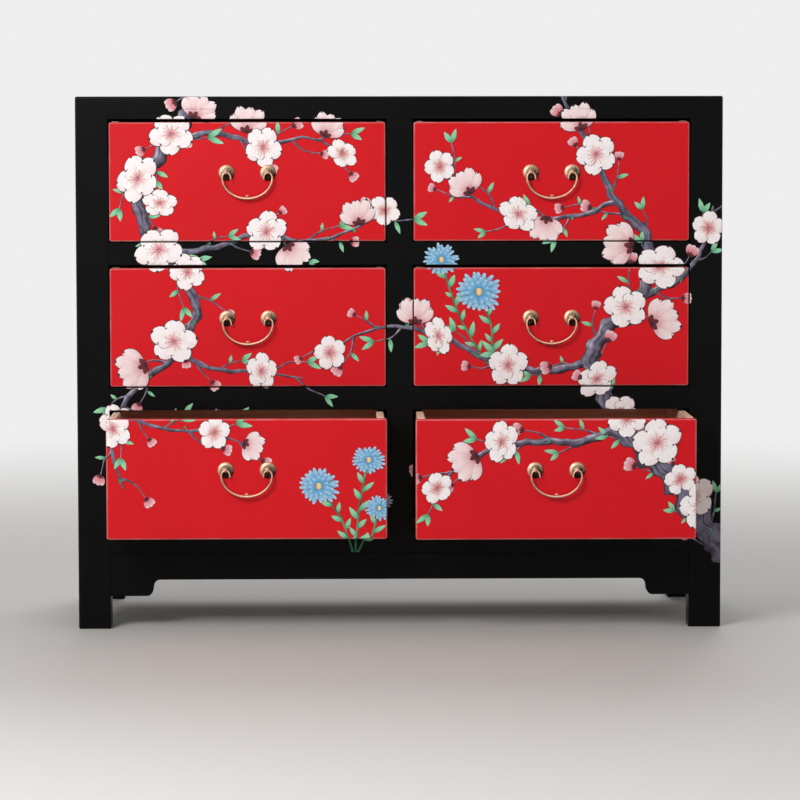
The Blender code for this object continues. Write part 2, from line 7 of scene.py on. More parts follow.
import bmesh
import bpy
import numpy as np
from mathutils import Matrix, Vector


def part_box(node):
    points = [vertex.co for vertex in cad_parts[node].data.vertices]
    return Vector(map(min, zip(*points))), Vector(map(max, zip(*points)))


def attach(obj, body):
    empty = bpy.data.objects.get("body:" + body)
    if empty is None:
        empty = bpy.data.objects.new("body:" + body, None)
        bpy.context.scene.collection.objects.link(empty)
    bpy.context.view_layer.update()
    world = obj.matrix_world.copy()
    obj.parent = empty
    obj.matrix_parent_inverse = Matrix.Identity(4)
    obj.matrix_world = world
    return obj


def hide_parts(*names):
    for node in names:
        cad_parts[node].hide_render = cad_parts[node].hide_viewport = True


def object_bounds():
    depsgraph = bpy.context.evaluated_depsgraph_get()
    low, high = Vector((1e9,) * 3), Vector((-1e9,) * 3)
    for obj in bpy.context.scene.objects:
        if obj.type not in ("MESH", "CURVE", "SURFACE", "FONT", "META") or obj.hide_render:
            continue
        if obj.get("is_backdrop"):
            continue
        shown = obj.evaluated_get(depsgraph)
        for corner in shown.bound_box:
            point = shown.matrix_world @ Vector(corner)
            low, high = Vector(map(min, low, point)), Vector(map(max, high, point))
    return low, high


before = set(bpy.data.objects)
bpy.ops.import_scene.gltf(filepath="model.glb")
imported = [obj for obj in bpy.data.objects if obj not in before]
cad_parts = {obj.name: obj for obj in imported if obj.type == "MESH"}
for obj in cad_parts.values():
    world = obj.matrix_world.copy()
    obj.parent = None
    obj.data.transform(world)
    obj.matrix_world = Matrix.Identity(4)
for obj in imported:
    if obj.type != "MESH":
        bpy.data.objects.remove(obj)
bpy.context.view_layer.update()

# Drawer boards and partitions: plain softwood boards inside the case, stained brown. They are lapped
# on to the rails, carry and part the drawers, and show only where a drawer is drawn out.
CASE_LATE_WOOD, CASE_EARLY_WOOD = "#3d2617", "#6b4a31"
CASE_RING_MM, CASE_FIBRE_MM, CASE_ROUGHNESS = 11.0, 1.6, 0.6
GRAIN_DRAW, FIBRE_TONES = 0.018, (0.82, 1.06)
# Spans of a noise's values over which a pattern goes from nothing to full.
SOFT, HARD = (0.3, 0.7), (0.35, 0.65)
X, Y, Z = range(3)


def linear(code):
    """Linear RGBA of an sRGB hex colour, each channel by the sRGB curve."""
    channels = [int(code[place:place + 2], 16) / 255 for place in (1, 3, 5)]
    return [*(c / 12.92 if c <= 0.04045 else ((c + 0.055) / 1.055) ** 2.4 for c in channels), 1.0]


def add(tree, kind, inputs, **settings):
    """A new shader node: settings are its own properties, inputs give sockets a value or a link."""
    node = tree.nodes.new("ShaderNode" + kind)
    for name, value in settings.items():
        setattr(node, name, value)
    for name, value in inputs.items():
        if isinstance(value, bpy.types.NodeSocket):
            tree.links.new(value, node.inputs[name])
        else:
            node.inputs[name].default_value = value
    return node


def noise(tree, vector, size, detail, **more):
    """Output of a noise texture with features of about this many millimetres."""
    sockets = {"Vector": vector, "Scale": 1000.0 / size, "Detail": detail, **more}
    return add(tree, "TexNoise", sockets).outputs[0]


def mapped(tree, value, span=(0.0, 1.0), onto=(0.0, 1.0), **settings):
    """Output of a value carried from one span onto another, and held within it."""
    sockets = zip(("Value", "From Min", "From Max", "To Min", "To Max"), (value, *span, *onto))
    return add(tree, "MapRange", dict(sockets), **settings).outputs[0]


def mixed(tree, factor, first, second, blend_type="MIX"):
    """Output of a mix of two colours."""
    sockets = {0: factor, 6: first, 7: second}
    return add(tree, "Mix", sockets, data_type="RGBA", blend_type=blend_type).outputs[2]


def finish(name, sockets):
    """A Principled material with values on its sockets; returns it with its tree and shader."""
    material = bpy.data.materials.new(name)
    material.use_nodes = True
    shader = material.node_tree.nodes["Principled BSDF"]
    for socket, value in sockets.items():
        shader.inputs[socket].default_value = value
    return material, material.node_tree, shader


def planed_wood(name, late, early, grain_axis, ring_mm, fibre_mm, roughness):
    """Planed softwood: bands of late and early wood and fine fibres, both drawn out along the grain.

    The eye gets soft streaks of two browns, a dull sheen, and fibres that just catch the light.
    """
    material, tree, shader = finish(name, {"Roughness": roughness, "IOR": 1.5})
    along = [1.0, 1.0, 1.0]
    along[grain_axis] = GRAIN_DRAW
    place = add(tree, "TexCoord", {})
    drawn = add(tree, "Mapping", {"Vector": place.outputs["Object"], "Scale": along}).outputs[0]
    rings = noise(tree, drawn, ring_mm, 3.0, Roughness=0.6, Distortion=0.3)
    fibres = noise(tree, drawn, fibre_mm, 2.0)
    wood = mixed(tree, mapped(tree, rings, HARD), linear(late), linear(early))
    toned = mixed(tree, 1.0, wood, mapped(tree, fibres, SOFT, FIBRE_TONES), "MULTIPLY")
    relief = add(tree, "Bump", {"Height": fibres, "Strength": 0.35, "Distance": 0.0004})
    tree.links.new(toned, shader.inputs["Base Color"])
    tree.links.new(relief.outputs[0], shader.inputs["Normal"])
    return material


def dress(material, *nodes):
    """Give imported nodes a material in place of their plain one."""
    for name in nodes:
        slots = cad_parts[name].data.materials
        slots.clear()
        slots.append(material)


ROWS = ("lower", "middle", "upper")
SIDES = ("left", "right")
case_wood = planed_wood("stained_case_wood", CASE_LATE_WOOD, CASE_EARLY_WOOD, X,
                        CASE_RING_MM, CASE_FIBRE_MM, CASE_ROUGHNESS)
dress(case_wood, *(f"{row}_{part}" for row in ROWS for part in ("drawer_board", "partition")))

# Rails, stiles and panels: flat boards of the case, joined by tenons and grooves, then filled and
# sprayed as one with black lacquer, which was rubbed to a soft gloss. The boards keep their plain form.
# Colours of the coat: two cloud tones, then the paler painted highlight along rounded edges.
BLACKS, BLACK_ROUGHNESS, BLACK_GLOSS = ("#050404", "#0a0909", "#2a2726"), 0.36, 0.068
# Sizes in mm of clouds, peel, rub marks and the patches of the painted edge highlight; the rub marks' lie and
# spread, and the strength range of the painted edge highlight.
CLOUD_MM, PEEL_MM, RUB_MM, WORN_AND_LIT_MM = 140.0, 3.0, 1.5, 30.0
RUB_LIE, RUB_SPREAD, WORN_AND_LIT_SHARE = (0.03, 0.03, 1.0), 0.05, (0.35, 0.8)


def rubbed_lacquer(name, colours, roughness, gloss, rub_lie=RUB_LIE):
    """Lacquer rubbed to a soft gloss: faint clouds of colour, orange peel, and fine rub marks.

    The rub marks are drawn out along the axes where their lie is small, so those of the frame lie level.
    The eye gets an even colour with a broad sheen that wavers a little, as a sprayed coat does, and
    a paler painted highlight along the rounded edges, broken into patches as wear would be.
    """
    material, tree, shader = finish(name, {"IOR": 1.5, "Specular IOR Level": gloss})
    place = add(tree, "TexCoord", {}).outputs["Object"]
    # Painted highlight along rounded edges: the coat goes towards the edge colour by this attribute, in
    # patches.
    wear_and_painted_light = add(tree, "Attribute", {}, attribute_name="wear_and_painted_light").outputs["Fac"]
    strength = mapped(tree, noise(tree, place, WORN_AND_LIT_MM, 2.0), HARD, WORN_AND_LIT_SHARE)
    worn_and_lit = add(tree, "Math", {0: wear_and_painted_light, 1: strength}, operation="MULTIPLY").outputs[0]
    deep, lit, edge = (linear(code) for code in colours)
    coat = mixed(tree, noise(tree, place, CLOUD_MM, 3.0), deep, lit)
    colour = mixed(tree, worn_and_lit, coat, edge)
    drawn = add(tree, "Mapping", {"Vector": place, "Scale": rub_lie}).outputs[0]
    spread = (roughness - RUB_SPREAD, roughness + RUB_SPREAD)
    sheen = mapped(tree, noise(tree, drawn, RUB_MM, 2.0), SOFT, spread)
    peel = noise(tree, place, PEEL_MM, 1.0)
    relief = add(tree, "Bump", {"Height": peel, "Strength": 0.12, "Distance": 0.0003}).outputs[0]
    for output, socket in ((colour, "Base Color"), (sheen, "Roughness"), (relief, "Normal")):
        tree.links.new(output, shader.inputs[socket])
    return material


black_lacquer = rubbed_lacquer("black_lacquer_rubbed", BLACKS, BLACK_ROUGHNESS, BLACK_GLOSS)
dress(black_lacquer, "bottom_rail", "lower_rail", "upper_rail", "top_rail",
      *(f"{row}_stile" for row in ROWS), "left_panel", "right_panel", "back_panel")

# Corner posts: square-sawn posts that run from the floor to the top board, with the outer arris
# rounded over and the feet eased, mortised for the rails and lacquered black with the frame.
POST_ARRIS, POST_OTHER_ARRIS, POST_FOOT_EASE = 0.003, 0.0003, 0.002
# From what ease an edge takes its full painted highlight; steps round a corner and an ease; the angle of
# sharp edges.
WORN_AND_LIT_FROM, CORNER_STEPS, EASE_STEPS, SHARP_DEGREES = 0.002, 6, 5, 35
# Which corner of its section, anticlockwise from the low one, is a post's outer one.
OUTER_CORNER = {("front", "left"): 0, ("front", "right"): 1, ("rear", "right"): 2, ("rear", "left"): 3}


def rectangle(p_range, q_range, radii):
    """Outline of a rectangle, anticlockwise from its low corner, with each corner a quarter circle.

    A third column says how strongly a point takes the painted edge highlight: nothing on the straight,
    most half way round a corner, and less on a corner of small radius.
    """
    (p0, p1), (q0, q1) = p_range, q_range
    corners = ((p0, q0, 1, 1), (p1, q0, -1, 1), (p1, q1, -1, -1), (p0, q1, 1, -1))
    turn = np.linspace(0, math.pi / 2, CORNER_STEPS)
    points = []
    for place, (p, q, p_in, q_in) in enumerate(corners):
        angle = turn + math.pi + place * math.pi / 2
        radius = radii[place]
        points.append(np.stack([p + p_in * radius + radius * np.cos(angle),
                                q + q_in * radius + radius * np.sin(angle),
                                np.sin(2 * turn) ** 2 * min(1, radius / WORN_AND_LIT_FROM)], 1))
    return np.concatenate(points)


def ring_faces(rings, count, closed=False):
    """Quads between rings of equally many points: all the way round, or with a flat cap at either end."""
    ring, step = np.meshgrid(np.arange(rings if closed else rings - 1), np.arange(count), indexing="ij")
    row, next_row, after = ring * count, (ring + 1) % rings * count, (step + 1) % count
    quads = np.stack([row + step, row + after, next_row + after, next_row + step], -1)
    caps = [] if closed else [list(range(count)), list(range((rings - 1) * count, rings * count))]
    return quads.reshape(-1, 4).tolist() + caps


def closed_mesh(name, bodies):
    """One mesh of closed bodies, each given as its points, how far each is rubbed or takes painted light, and
    its faces.
    """
    mesh = bpy.data.meshes.new(name)
    starts = np.cumsum([0] + [len(points) for points, _, _ in bodies])
    faces = [[corner + start for corner in face]
             for start, (_, _, group) in zip(starts.tolist(), bodies) for face in group]
    mesh.from_pydata(np.concatenate([points for points, _, _ in bodies]).tolist(), [], faces)
    wear_and_painted_light = np.concatenate([rubbed_and_lit for _, rubbed_and_lit, _ in bodies])
    mesh.attributes.new("wear_and_painted_light", "FLOAT", "POINT").data.foreach_set("value", wear_and_painted_light.astype(np.float32))
    shape = bmesh.new()
    shape.from_mesh(mesh)
    bmesh.ops.recalc_face_normals(shape, faces=shape.faces)
    shape.to_mesh(mesh)
    shape.free()
    mesh.shade_smooth()
    mesh.set_sharp_from_angle(angle=math.radians(SHARP_DEGREES))
    return mesh


def eased_board(outline, axis, ends, eases):
    """A board: its outline carried along an axis, drawn in at each end on a quarter circle.

    The outline is anticlockwise in the two other axes. It is drawn in along its mitred normals,
    so round corners shrink about their centres and straight edges stay parallel.
    """
    outline, corner = outline[:, :2], outline[:, 2]
    edge = np.roll(outline, -1, 0) - outline
    normal = np.stack([edge[:, 1], -edge[:, 0]], 1) / np.linalg.norm(edge, axis=1)[:, None]
    before = np.roll(normal, 1, 0)
    mitre = (normal + before) / (1 + (normal * before).sum(1))[:, None]
    angle = np.linspace(0, math.pi / 2, EASE_STEPS)
    inset, depth, bare_and_lit = 1 - np.sin(angle), 1 - np.cos(angle), np.sin(2 * angle) ** 4
    insets = np.concatenate([eases[0] * inset, eases[1] * inset[::-1]])
    places = np.concatenate([ends[0] + eases[0] * depth, ends[1] - eases[1] * depth[::-1]])
    flat = outline[None] - insets[:, None, None] * mitre[None]
    points = np.insert(flat, axis, np.broadcast_to(places[:, None], flat.shape[:2]), axis=2)
    # Painted highlight along the eased ends and the long rounded corners, strongest half way round.
    full = 1 - np.concatenate([inset, inset[::-1]])
    worn_and_lit = np.minimum(1, np.array(eases) / WORN_AND_LIT_FROM)
    rubbed_and_lit = np.concatenate([worn_and_lit[0] * bare_and_lit, worn_and_lit[1] * bare_and_lit[::-1]])
    wear_and_painted_light = np.maximum(rubbed_and_lit[:, None], full[:, None] * corner)
    return points.reshape(-1, 3), wear_and_painted_light.ravel(), ring_faces(len(places), len(outline))


def placed(name, data):
    """A new object of some data, linked into the scene."""
    made = bpy.data.objects.new(name, data)
    bpy.context.scene.collection.objects.link(made)
    return made


def piece(name, mesh, material, body, slot, *nodes):
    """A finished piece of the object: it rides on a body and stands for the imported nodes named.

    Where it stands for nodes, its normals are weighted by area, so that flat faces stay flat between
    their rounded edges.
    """
    made = placed(name, mesh)
    mesh.materials.append(material)
    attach(made, body)
    if nodes:
        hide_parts(*nodes)
        made.modifiers.new("flat_faces", "WEIGHTED_NORMAL").keep_sharp = True
    return made


for end in ("front", "rear"):
    for side in SIDES:
        low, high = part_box(f"{end}_{side}_post")
        radii = [POST_OTHER_ARRIS] * 4
        radii[OUTER_CORNER[end, side]] = POST_ARRIS
        section = rectangle((low.x, high.x), (low.y, high.y), radii)
        body = eased_board(section, Z, (low.z, high.z), (POST_FOOT_EASE, POST_OTHER_ARRIS))
        piece(f"lacquered_{end}_{side}_post", closed_mesh("post", [body]), black_lacquer,
              "carcass", "black_lacquer", f"{end}_{side}_post")

# Top board: one wide board glued on the posts and the top rail, its upper edges rounded over. The lacquer
# fills the glue line under it, and was rubbed along the board.
TOP_EASES, TOP_CORNER, GLUE_LINE = (0.00005, 0.003), 0.0034, 0.0003
TOP_RUB_LIE = (0.01, 1.0, 1.0)
top_lacquer = rubbed_lacquer("black_lacquer_rubbed_lengthwise", BLACKS, BLACK_ROUGHNESS, BLACK_GLOSS,
                             TOP_RUB_LIE)
low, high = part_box("top_board")
low.z -= GLUE_LINE
outline = rectangle((low.x, high.x), (low.y, high.y), [TOP_CORNER] * 4)
piece("lacquered_top", closed_mesh("top", [eased_board(outline, Z, (low.z, high.z), TOP_EASES)]),
      top_lacquer, "carcass", "black_lacquer", "top_board")

# Aprons: boards under the front and the sides, sawn to a double curve at either end, eased along their
# edges, tenoned into the posts and lacquered black.
APRON_EASE, APRON_TONGUE, OGEE_STEPS = 0.0008, 0.0057, 10
APRON_RISE, OGEE_WIDTH, FRONT_EAR, SIDE_EAR = 0.0255, 0.020, 0.0564, 0.040


def apron_outline(start, end, low, high, ear):
    """Outline of an apron, anticlockwise: the lower edge rises between its ears on two double curves.

    Each double curve is two quarter ellipses that meet upright half way up, a hollow and then a round.
    """
    turn = np.linspace(0, math.pi / 2, OGEE_STEPS)
    hollow = np.stack([np.sin(turn), 1 - np.cos(turn)], 1)
    round_over = np.stack([2 - np.cos(turn), 1 + np.sin(turn)], 1)[1:]
    rise = np.concatenate([hollow, round_over]) * (OGEE_WIDTH / 2, APRON_RISE / 2)
    left = rise + (start + APRON_TONGUE + ear, low)
    right = (rise * (-1, 1) + (end - APRON_TONGUE - ear, low))[::-1]
    outline = np.concatenate([[(start, low)], left, right, [(end, low), (end, high), (start, high)]])
    return np.column_stack([outline, np.zeros(len(outline))])


for name, axis, ear in (("front_apron", Y, FRONT_EAR), ("left_apron", X, SIDE_EAR),
                        ("right_apron", X, SIDE_EAR)):
    low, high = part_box(name)
    span = X if axis == Y else Y
    outline = apron_outline(low[span], high[span], low.z, high.z, ear)
    body = eased_board(outline, axis, (low[axis], high[axis]), (APRON_EASE, APRON_EASE))
    piece(f"lacquered_{name}", closed_mesh("apron", [body]), black_lacquer, "carcass", "black_lacquer", name)

# Drawer boxes: sides and back of pale bare softwood, planed, glued to the front and to each other,
# with the bottom let into a groove. The upper edges are eased so that they don't catch on hands.
SIDE_THICKNESS, BOX_ARRIS, BOX_EASE = 0.011, 0.0004, 0.0012
BOX_RADII, BOX_END_EASES = [BOX_ARRIS, BOX_ARRIS, BOX_EASE, BOX_EASE], (BOX_ARRIS, BOX_ARRIS)
PALE_LATE_WOOD, PALE_EARLY_WOOD = "#eabc9f", "#fde0cb"
PALE_RING_MM, PALE_FIBRE_MM, PALE_ROUGHNESS = 7.0, 1.0, 0.55
side_wood, back_wood = (
    planed_wood(name, PALE_LATE_WOOD, PALE_EARLY_WOOD, grain, PALE_RING_MM, PALE_FIBRE_MM, PALE_ROUGHNESS)
    for name, grain in (("pale_side_wood", Y), ("pale_back_wood", X)))
DRAWERS = [f"{row}_{side}" for row in ROWS for side in SIDES]
for drawer in DRAWERS:
    low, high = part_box(f"{drawer}_drawer_box")
    lengthwise = (low.y, high.y)
    boards = []
    for x_range in ((low.x, low.x + SIDE_THICKNESS), (high.x - SIDE_THICKNESS, high.x)):
        section = rectangle(x_range, (low.z, high.z), BOX_RADII)
        boards.append(eased_board(section, Y, lengthwise, BOX_END_EASES))
    piece(f"{drawer}_box_sides", closed_mesh("box_sides", boards), side_wood, f"{drawer}_drawer",
          "drawer_wood", f"{drawer}_drawer_box")
    section = rectangle((high.y - SIDE_THICKNESS, high.y), (low.z, high.z), BOX_RADII)
    between = (low.x + SIDE_THICKNESS, high.x - SIDE_THICKNESS)
    body = eased_board(section, X, between, BOX_END_EASES)
    piece(f"{drawer}_box_back", closed_mesh("box_back", [body]), back_wood, f"{drawer}_drawer",
          "drawer_wood", f"{drawer}_drawer_box")
dress(back_wood, *(f"{drawer}_drawer_bottom" for drawer in DRAWERS))

# Drawer fronts: flat boards with every edge and corner rounded over, set flush in the frame with a
# thin gap all round, and lacquered red in the same way as the case.
# Colours of the coat: two cloud tones, then the paler painted highlight along rounded edges.
REDS, RED_ROUGHNESS, RED_GLOSS = ("#c80d18", "#d40f1b", "#cfa29e"), 0.36, 0.2
FRONT_EASE, FRONT_CORNER = 0.003, 0.0036
red_lacquer = rubbed_lacquer("red_lacquer_rubbed", REDS, RED_ROUGHNESS, RED_GLOSS)
for drawer in DRAWERS:
    low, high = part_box(f"{drawer}_drawer_front")
    outline = rectangle((low.x, high.x), (low.z, high.z), [FRONT_CORNER] * 4)
    body = eased_board(outline, Y, (low.y, high.y), (FRONT_EASE, FRONT_EASE))
    piece(f"{drawer}_lacquered_front", closed_mesh("front", [body]), red_lacquer,
          f"{drawer}_drawer", "red_lacquer", f"{drawer}_drawer_front")

# Rosettes: turned brass plates, flat-domed inside a rolled rim, each held by a stud through the front, with
# a wire eye soldered to a boss in the middle. They were browned, then rubbed bright on the high parts.
# Their colour also carries a painted highlight towards the upper left and a painted shadow below the eye.
BRASS_BROWN, BRASS_OLIVE, BRASS_BRIGHT = "#26170d", "#9c886f", "#e3ad96"
BRASS_DULL, BRASS_POLISHED, OLIVE_AT = 0.55, 0.48, 0.5
TARNISH_MM, TARNISH_SPREAD = 2.5, 0.18
EYE_RADIUS, EYE_WIRE, EYE_OUT = 0.0037, 0.0011, 0.0101
ROSETTE_STEPS, EYE_STEPS, EYE_SIDES = 48, 28, 12
# Profile of a rosette: radius and height in mm, and how bright it is, from 0 to 1: rubbed wear, with a
# painted highlight on the rim.
ROSETTE = ((0.4, 0.0, 0.2), (12.2, 0.0, 0.3), (12.5, 0.3, 0.7), (12.5, 0.8, 0.95), (12.35, 1.3, 1.0),
           (12.0, 1.8, 1.0), (11.4, 2.25, 1.0), (10.7, 2.65, 1.0), (9.9, 3.05, 1.0), (9.1, 3.38, 0.85),
           (8.3, 3.6, 0.62), (7.5, 3.74, 0.48), (6.6, 3.84, 0.42), (5.6, 3.92, 0.4), (4.6, 4.02, 0.4),
           (4.0, 4.2, 0.42), (3.3, 4.65, 0.6), (2.6, 5.15, 0.9), (1.7, 5.6, 0.95), (0.8, 5.78, 0.9),
           (0.3, 5.8, 0.9))
# Wear and painted highlight round the mount and round the eye: its mean, its swing, and the way it is most,
# in degrees.
ROSETTE_WEAR_AND_LIGHT, EYE_WEAR_AND_LIGHT = (0.6, 0.42, 153.0), (0.35, 0.62, 108.0)
# Painted shadow behind the hook, from where it starts to where it is full below the middle, and where it
# gives way to painted light, at the rim and from the left, and how much of it.
SHADOW_BELOW, LIT_AT_RIM = (0.00035, 0.00385), (0.012, 0.016)
LIT_FROM_LEFT, LIT_SHARE = (0.0048, 0.0088), 0.9


def ramp(value, start, end):
    """0 up to the start, 1 from the end on, and even between."""
    return np.clip((value - start) / (end - start), 0, 1)


def around(count, turn=0.0):
    """So many directions all round, from a turn on."""
    return turn + np.arange(count) * 2 * math.pi / count


def worn_and_lit_round(angle, mean, swing, way):
    """Wear with painted light by angle: the mean, more by the swing towards the lit way and less on the
    shaded side.
    """
    return mean + swing * np.cos(angle - math.radians(way))


def turned(profile, centre):
    """A profile of (radius, height, wear) turned about a line towards the front.

    Wear and a painted highlight are most at the upper left. Below the eye, behind the hook, a painted shadow
    turns the brass brown, but it gives way at the rim and on the left side.
    """
    angle = around(ROSETTE_STEPS)
    radius, height = profile[:, :1], profile[:, 1:2]
    right, up = radius * np.cos(angle), radius * np.sin(angle)
    points = np.stack([centre[0] + right, centre[1] - np.broadcast_to(height, up.shape), centre[2] + up], -1)
    # Painted shadow below the eye, behind the hook, lifted at the rim and on the left.
    shadowed = ramp(-up, *SHADOW_BELOW) * (1 - ramp(radius, *LIT_AT_RIM))
    shadowed = shadowed * (1 - LIT_SHARE * ramp(-right, *LIT_FROM_LEFT))
    # Painted highlight towards the upper left, over the wear of the profile.
    wear_and_painted_light = profile[:, 2:] * worn_and_lit_round(angle, *ROSETTE_WEAR_AND_LIGHT) * (1 - shadowed)
    return points.reshape(-1, 3), wear_and_painted_light.ravel(), ring_faces(len(profile), ROSETTE_STEPS)


def eye_ring(centre):
    """A wire ring in the upright plane through the mount's middle, with a painted highlight at the top and
    front.
    """
    round_, about = np.meshgrid(around(EYE_STEPS), around(EYE_SIDES), indexing="ij")
    reach = EYE_RADIUS + EYE_WIRE * np.cos(about)
    points = np.stack([centre[0] + EYE_WIRE * np.sin(about), centre[1] - EYE_OUT + reach * np.cos(round_),
                       centre[2] + reach * np.sin(round_)], -1)
    # Painted highlight at the top and front, painted shade at the bottom and back.
    wear_and_painted_light = np.clip(worn_and_lit_round(round_, *EYE_WEAR_AND_LIGHT), 0, 1)
    return points.reshape(-1, 3), wear_and_painted_light.ravel(), ring_faces(EYE_STEPS, EYE_SIDES, closed=True)


def browned_brass(name):
    """Browned brass rubbed bright where hands reach, with painted highlights and shade: colour and polish
    follow both.

    The colour goes from brown through olive to bright.
    The eye gets warm bright edges and domes beside dull brown, partly painted shade, with small clouds of
    tarnish.
    """
    material, tree, shader = finish(name, {"Metallic": 1.0})
    place = add(tree, "TexCoord", {}).outputs["Object"]
    # This attribute holds wear together with painted highlights and painted shade.
    wear_and_painted_light = add(tree, "Attribute", {}, attribute_name="wear_and_painted_light").outputs["Fac"]
    tarnish = mapped(tree, noise(tree, place, TARNISH_MM, 4.0), SOFT, (-TARNISH_SPREAD, TARNISH_SPREAD))
    bright = add(tree, "Math", {0: wear_and_painted_light, 1: tarnish}, operation="ADD", use_clamp=True).outputs[0]
    colour = add(tree, "ValToRGB", {"Fac": bright})
    stops = colour.color_ramp.elements
    stops.new(OLIVE_AT)
    for stop, code in zip(stops, (BRASS_BROWN, BRASS_OLIVE, BRASS_BRIGHT)):
        stop.color = linear(code)
    polish = mapped(tree, bright, onto=(BRASS_DULL, BRASS_POLISHED))
    tree.links.new(colour.outputs["Color"], shader.inputs["Base Color"])
    tree.links.new(polish, shader.inputs["Roughness"])
    return material


brass = browned_brass("browned_brass")
rosette_profile = np.array(ROSETTE) * (0.001, 0.001, 1.0)
for drawer in DRAWERS:
    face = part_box(f"{drawer}_drawer_front")[0].y
    for side in SIDES:
        low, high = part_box(f"{drawer}_rosette_{side}")
        centre = ((low.x + high.x) / 2, face, (low.z + high.z) / 2)
        bodies = [turned(rosette_profile, centre), eye_ring(centre)]
        piece(f"{drawer}_turned_rosette_{side}", closed_mesh("rosette", bodies),
              brass, f"{drawer}_drawer", "brass", f"{drawer}_rosette_{side}")

# Bails: brass wire bent to a half hoop that swells to the middle, with a small knob on it there, and turned
# over at both ends into hooks that hang in the eyes. The middle is rubbed brightest, the hooks carry a
# painted highlight, and the underside of the wire a painted shade.
BAIL_DROP, BAIL_WIRE, BAIL_SWELL, BAIL_SWELL_WIDTH = 0.0398, 0.0019, 0.0005, 0.0128
# Knob: radius and height in mm over the middle of the wire.
KNOB = ((0.5, 0.8), (1.9, 1.2), (1.9, 1.9), (2.4, 2.4), (3.0, 3.1), (3.2, 3.9), (2.9, 4.7), (2.2, 5.4),
        (1.2, 5.9), (0.3, 6.0))
HOOK_HALF_WIDTH, HOOK_HEIGHT, HOOK_TIP, PULL_SPACING = 0.0065, 0.008, 0.003, 0.064
TIP_POINTS, HOOK_POINTS, HOOP_POINTS, WIRE_SIDES, KNOB_SIDES = 4, 18, 36, 14, 16
# Taper of the wire: so many points from a tip, and the share of the radius there.
TAPER = ((0, 0.35), (1, 0.6), (2, 0.7), (21, 0.76), (27, 0.93))
# Wear: the wire's least, and what its hooks, with a painted highlight, and its middle have more; the knob's
# from foot to top; and the painted shade on an underside: how much, from where it turns down to where full.
WIRE_WEAR, WIRE_RUB_AND_GLINT, KNOB_WEAR = 0.58, 0.38, (0.6, 1.0)
UNDERSIDE_SHADE, UNDERSIDE = 0.6, (0.1, 0.8)


def swept(path, radius, across, wear_and_painted_light, sides):
    """A round wire along a path in the upright plane, of varying radius and wear, with painted shade beneath.
    """
    run = np.gradient(path, axis=0)
    run /= np.linalg.norm(run, axis=1)[:, None]
    out = np.stack([run[:, 1], -run[:, 0]], 1)
    angle = around(sides)
    flat = path[:, None] + (radius[:, None] * np.cos(angle))[..., None] * out[:, None]
    depth = across + radius[:, None] * np.sin(angle)
    points = np.stack([flat[..., 0], depth, flat[..., 1]], -1)
    below = -np.cos(angle) * out[:, 1:]
    # Painted shade on the underside of the wire and knob.
    rubbed_and_lit = wear_and_painted_light[:, None] - UNDERSIDE_SHADE * ramp(below, *UNDERSIDE)
    return points.reshape(-1, 3), np.clip(rubbed_and_lit, 0, 1).ravel(), ring_faces(len(path), sides)


def bail_wire():
    """Path (x, z) about the eyes' axis, and radius: tip, hook over the eye, and the half of the hoop.

    The hook is half an ellipse over the eye. The hoop is half an ellipse from hook to hook. The radius
    swells on a bell curve to the middle, and tapers over the hook to a blunt tip.
    """
    half = PULL_SPACING / 2
    over = np.linspace(0, math.pi, HOOK_POINTS)
    hook = np.stack([half - HOOK_HALF_WIDTH * np.cos(over), -HOOK_HEIGHT + HOOK_HEIGHT * np.sin(over)], 1)
    tip = np.stack([np.full(TIP_POINTS, half - HOOK_HALF_WIDTH),
                    np.linspace(-HOOK_HEIGHT - HOOK_TIP, -HOOK_HEIGHT, TIP_POINTS, endpoint=False)], 1)
    down = np.linspace(0, math.pi / 2, HOOP_POINTS)[1:]
    hoop = np.stack([(half + HOOK_HALF_WIDTH) * np.cos(down),
                     -HOOK_HEIGHT - (BAIL_DROP - HOOK_HEIGHT) * np.sin(down)], 1)
    right = np.concatenate([tip, hook, hoop])
    path = np.concatenate([right, right[-2::-1] * (-1, 1)])
    radius = BAIL_WIRE + BAIL_SWELL * np.exp(-(path[:, 0] / BAIL_SWELL_WIDTH) ** 2)
    along = np.arange(len(path))
    from_tip = np.minimum(along, along[::-1])
    return path, radius * np.interp(from_tip, *zip(*TAPER))


wire_path, wire_radius = bail_wire()
# More at the hooks, as a painted highlight, and at the middle, where it is rubbed.
wire_wear_and_glint = WIRE_WEAR + WIRE_RUB_AND_GLINT * np.abs(1 + 2 * wire_path[:, 1] / BAIL_DROP)
knob_radius, knob_height = np.array(KNOB).T / 1000
knob_path = np.stack([0 * knob_height, knob_height - BAIL_DROP], 1)
knob_wear = np.linspace(*KNOB_WEAR, len(KNOB))
for drawer in DRAWERS:
    low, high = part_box(f"{drawer}_bail")
    across = (low.y + high.y) / 2
    hinge = ((low.x + high.x) / 2, high.z - BAIL_WIRE)
    wire = swept(wire_path + hinge, wire_radius, across, wire_wear_and_glint, WIRE_SIDES)
    knob = swept(knob_path + hinge, knob_radius, across, knob_wear, KNOB_SIDES)
    piece(f"{drawer}_bent_bail", closed_mesh("bail", [wire, knob]), brass, f"{drawer}_bail", "brass",
          f"{drawer}_bail")

# Painted decoration: boughs of plum blossom with leaves and blue asters, painted by brush with mineral
# colours across the closed front, over frame and drawers alike, and left a little proud of the lacquer.
PAINT = {name: np.array(linear(code)) for name, code in {
    "white": "#f6eeee", "shell": "#f0d3d3", "blush": "#df8f98", "rose": "#bf4a60", "petal_line": "#43222f",
    "bark": "#716b80", "bark_lit": "#c6c1d0", "bark_dark": "#19131c",
    "mint": "#93d3a8", "green": "#3f8f68", "leaf_line": "#18382f",
    "sky": "#d3e7f1", "azure": "#62a9d6", "navy": "#22578c", "aster_line": "#12293f",
    "cream": "#efdca6", "ochre": "#96611f", "calyx": "#64282d"}.items()}
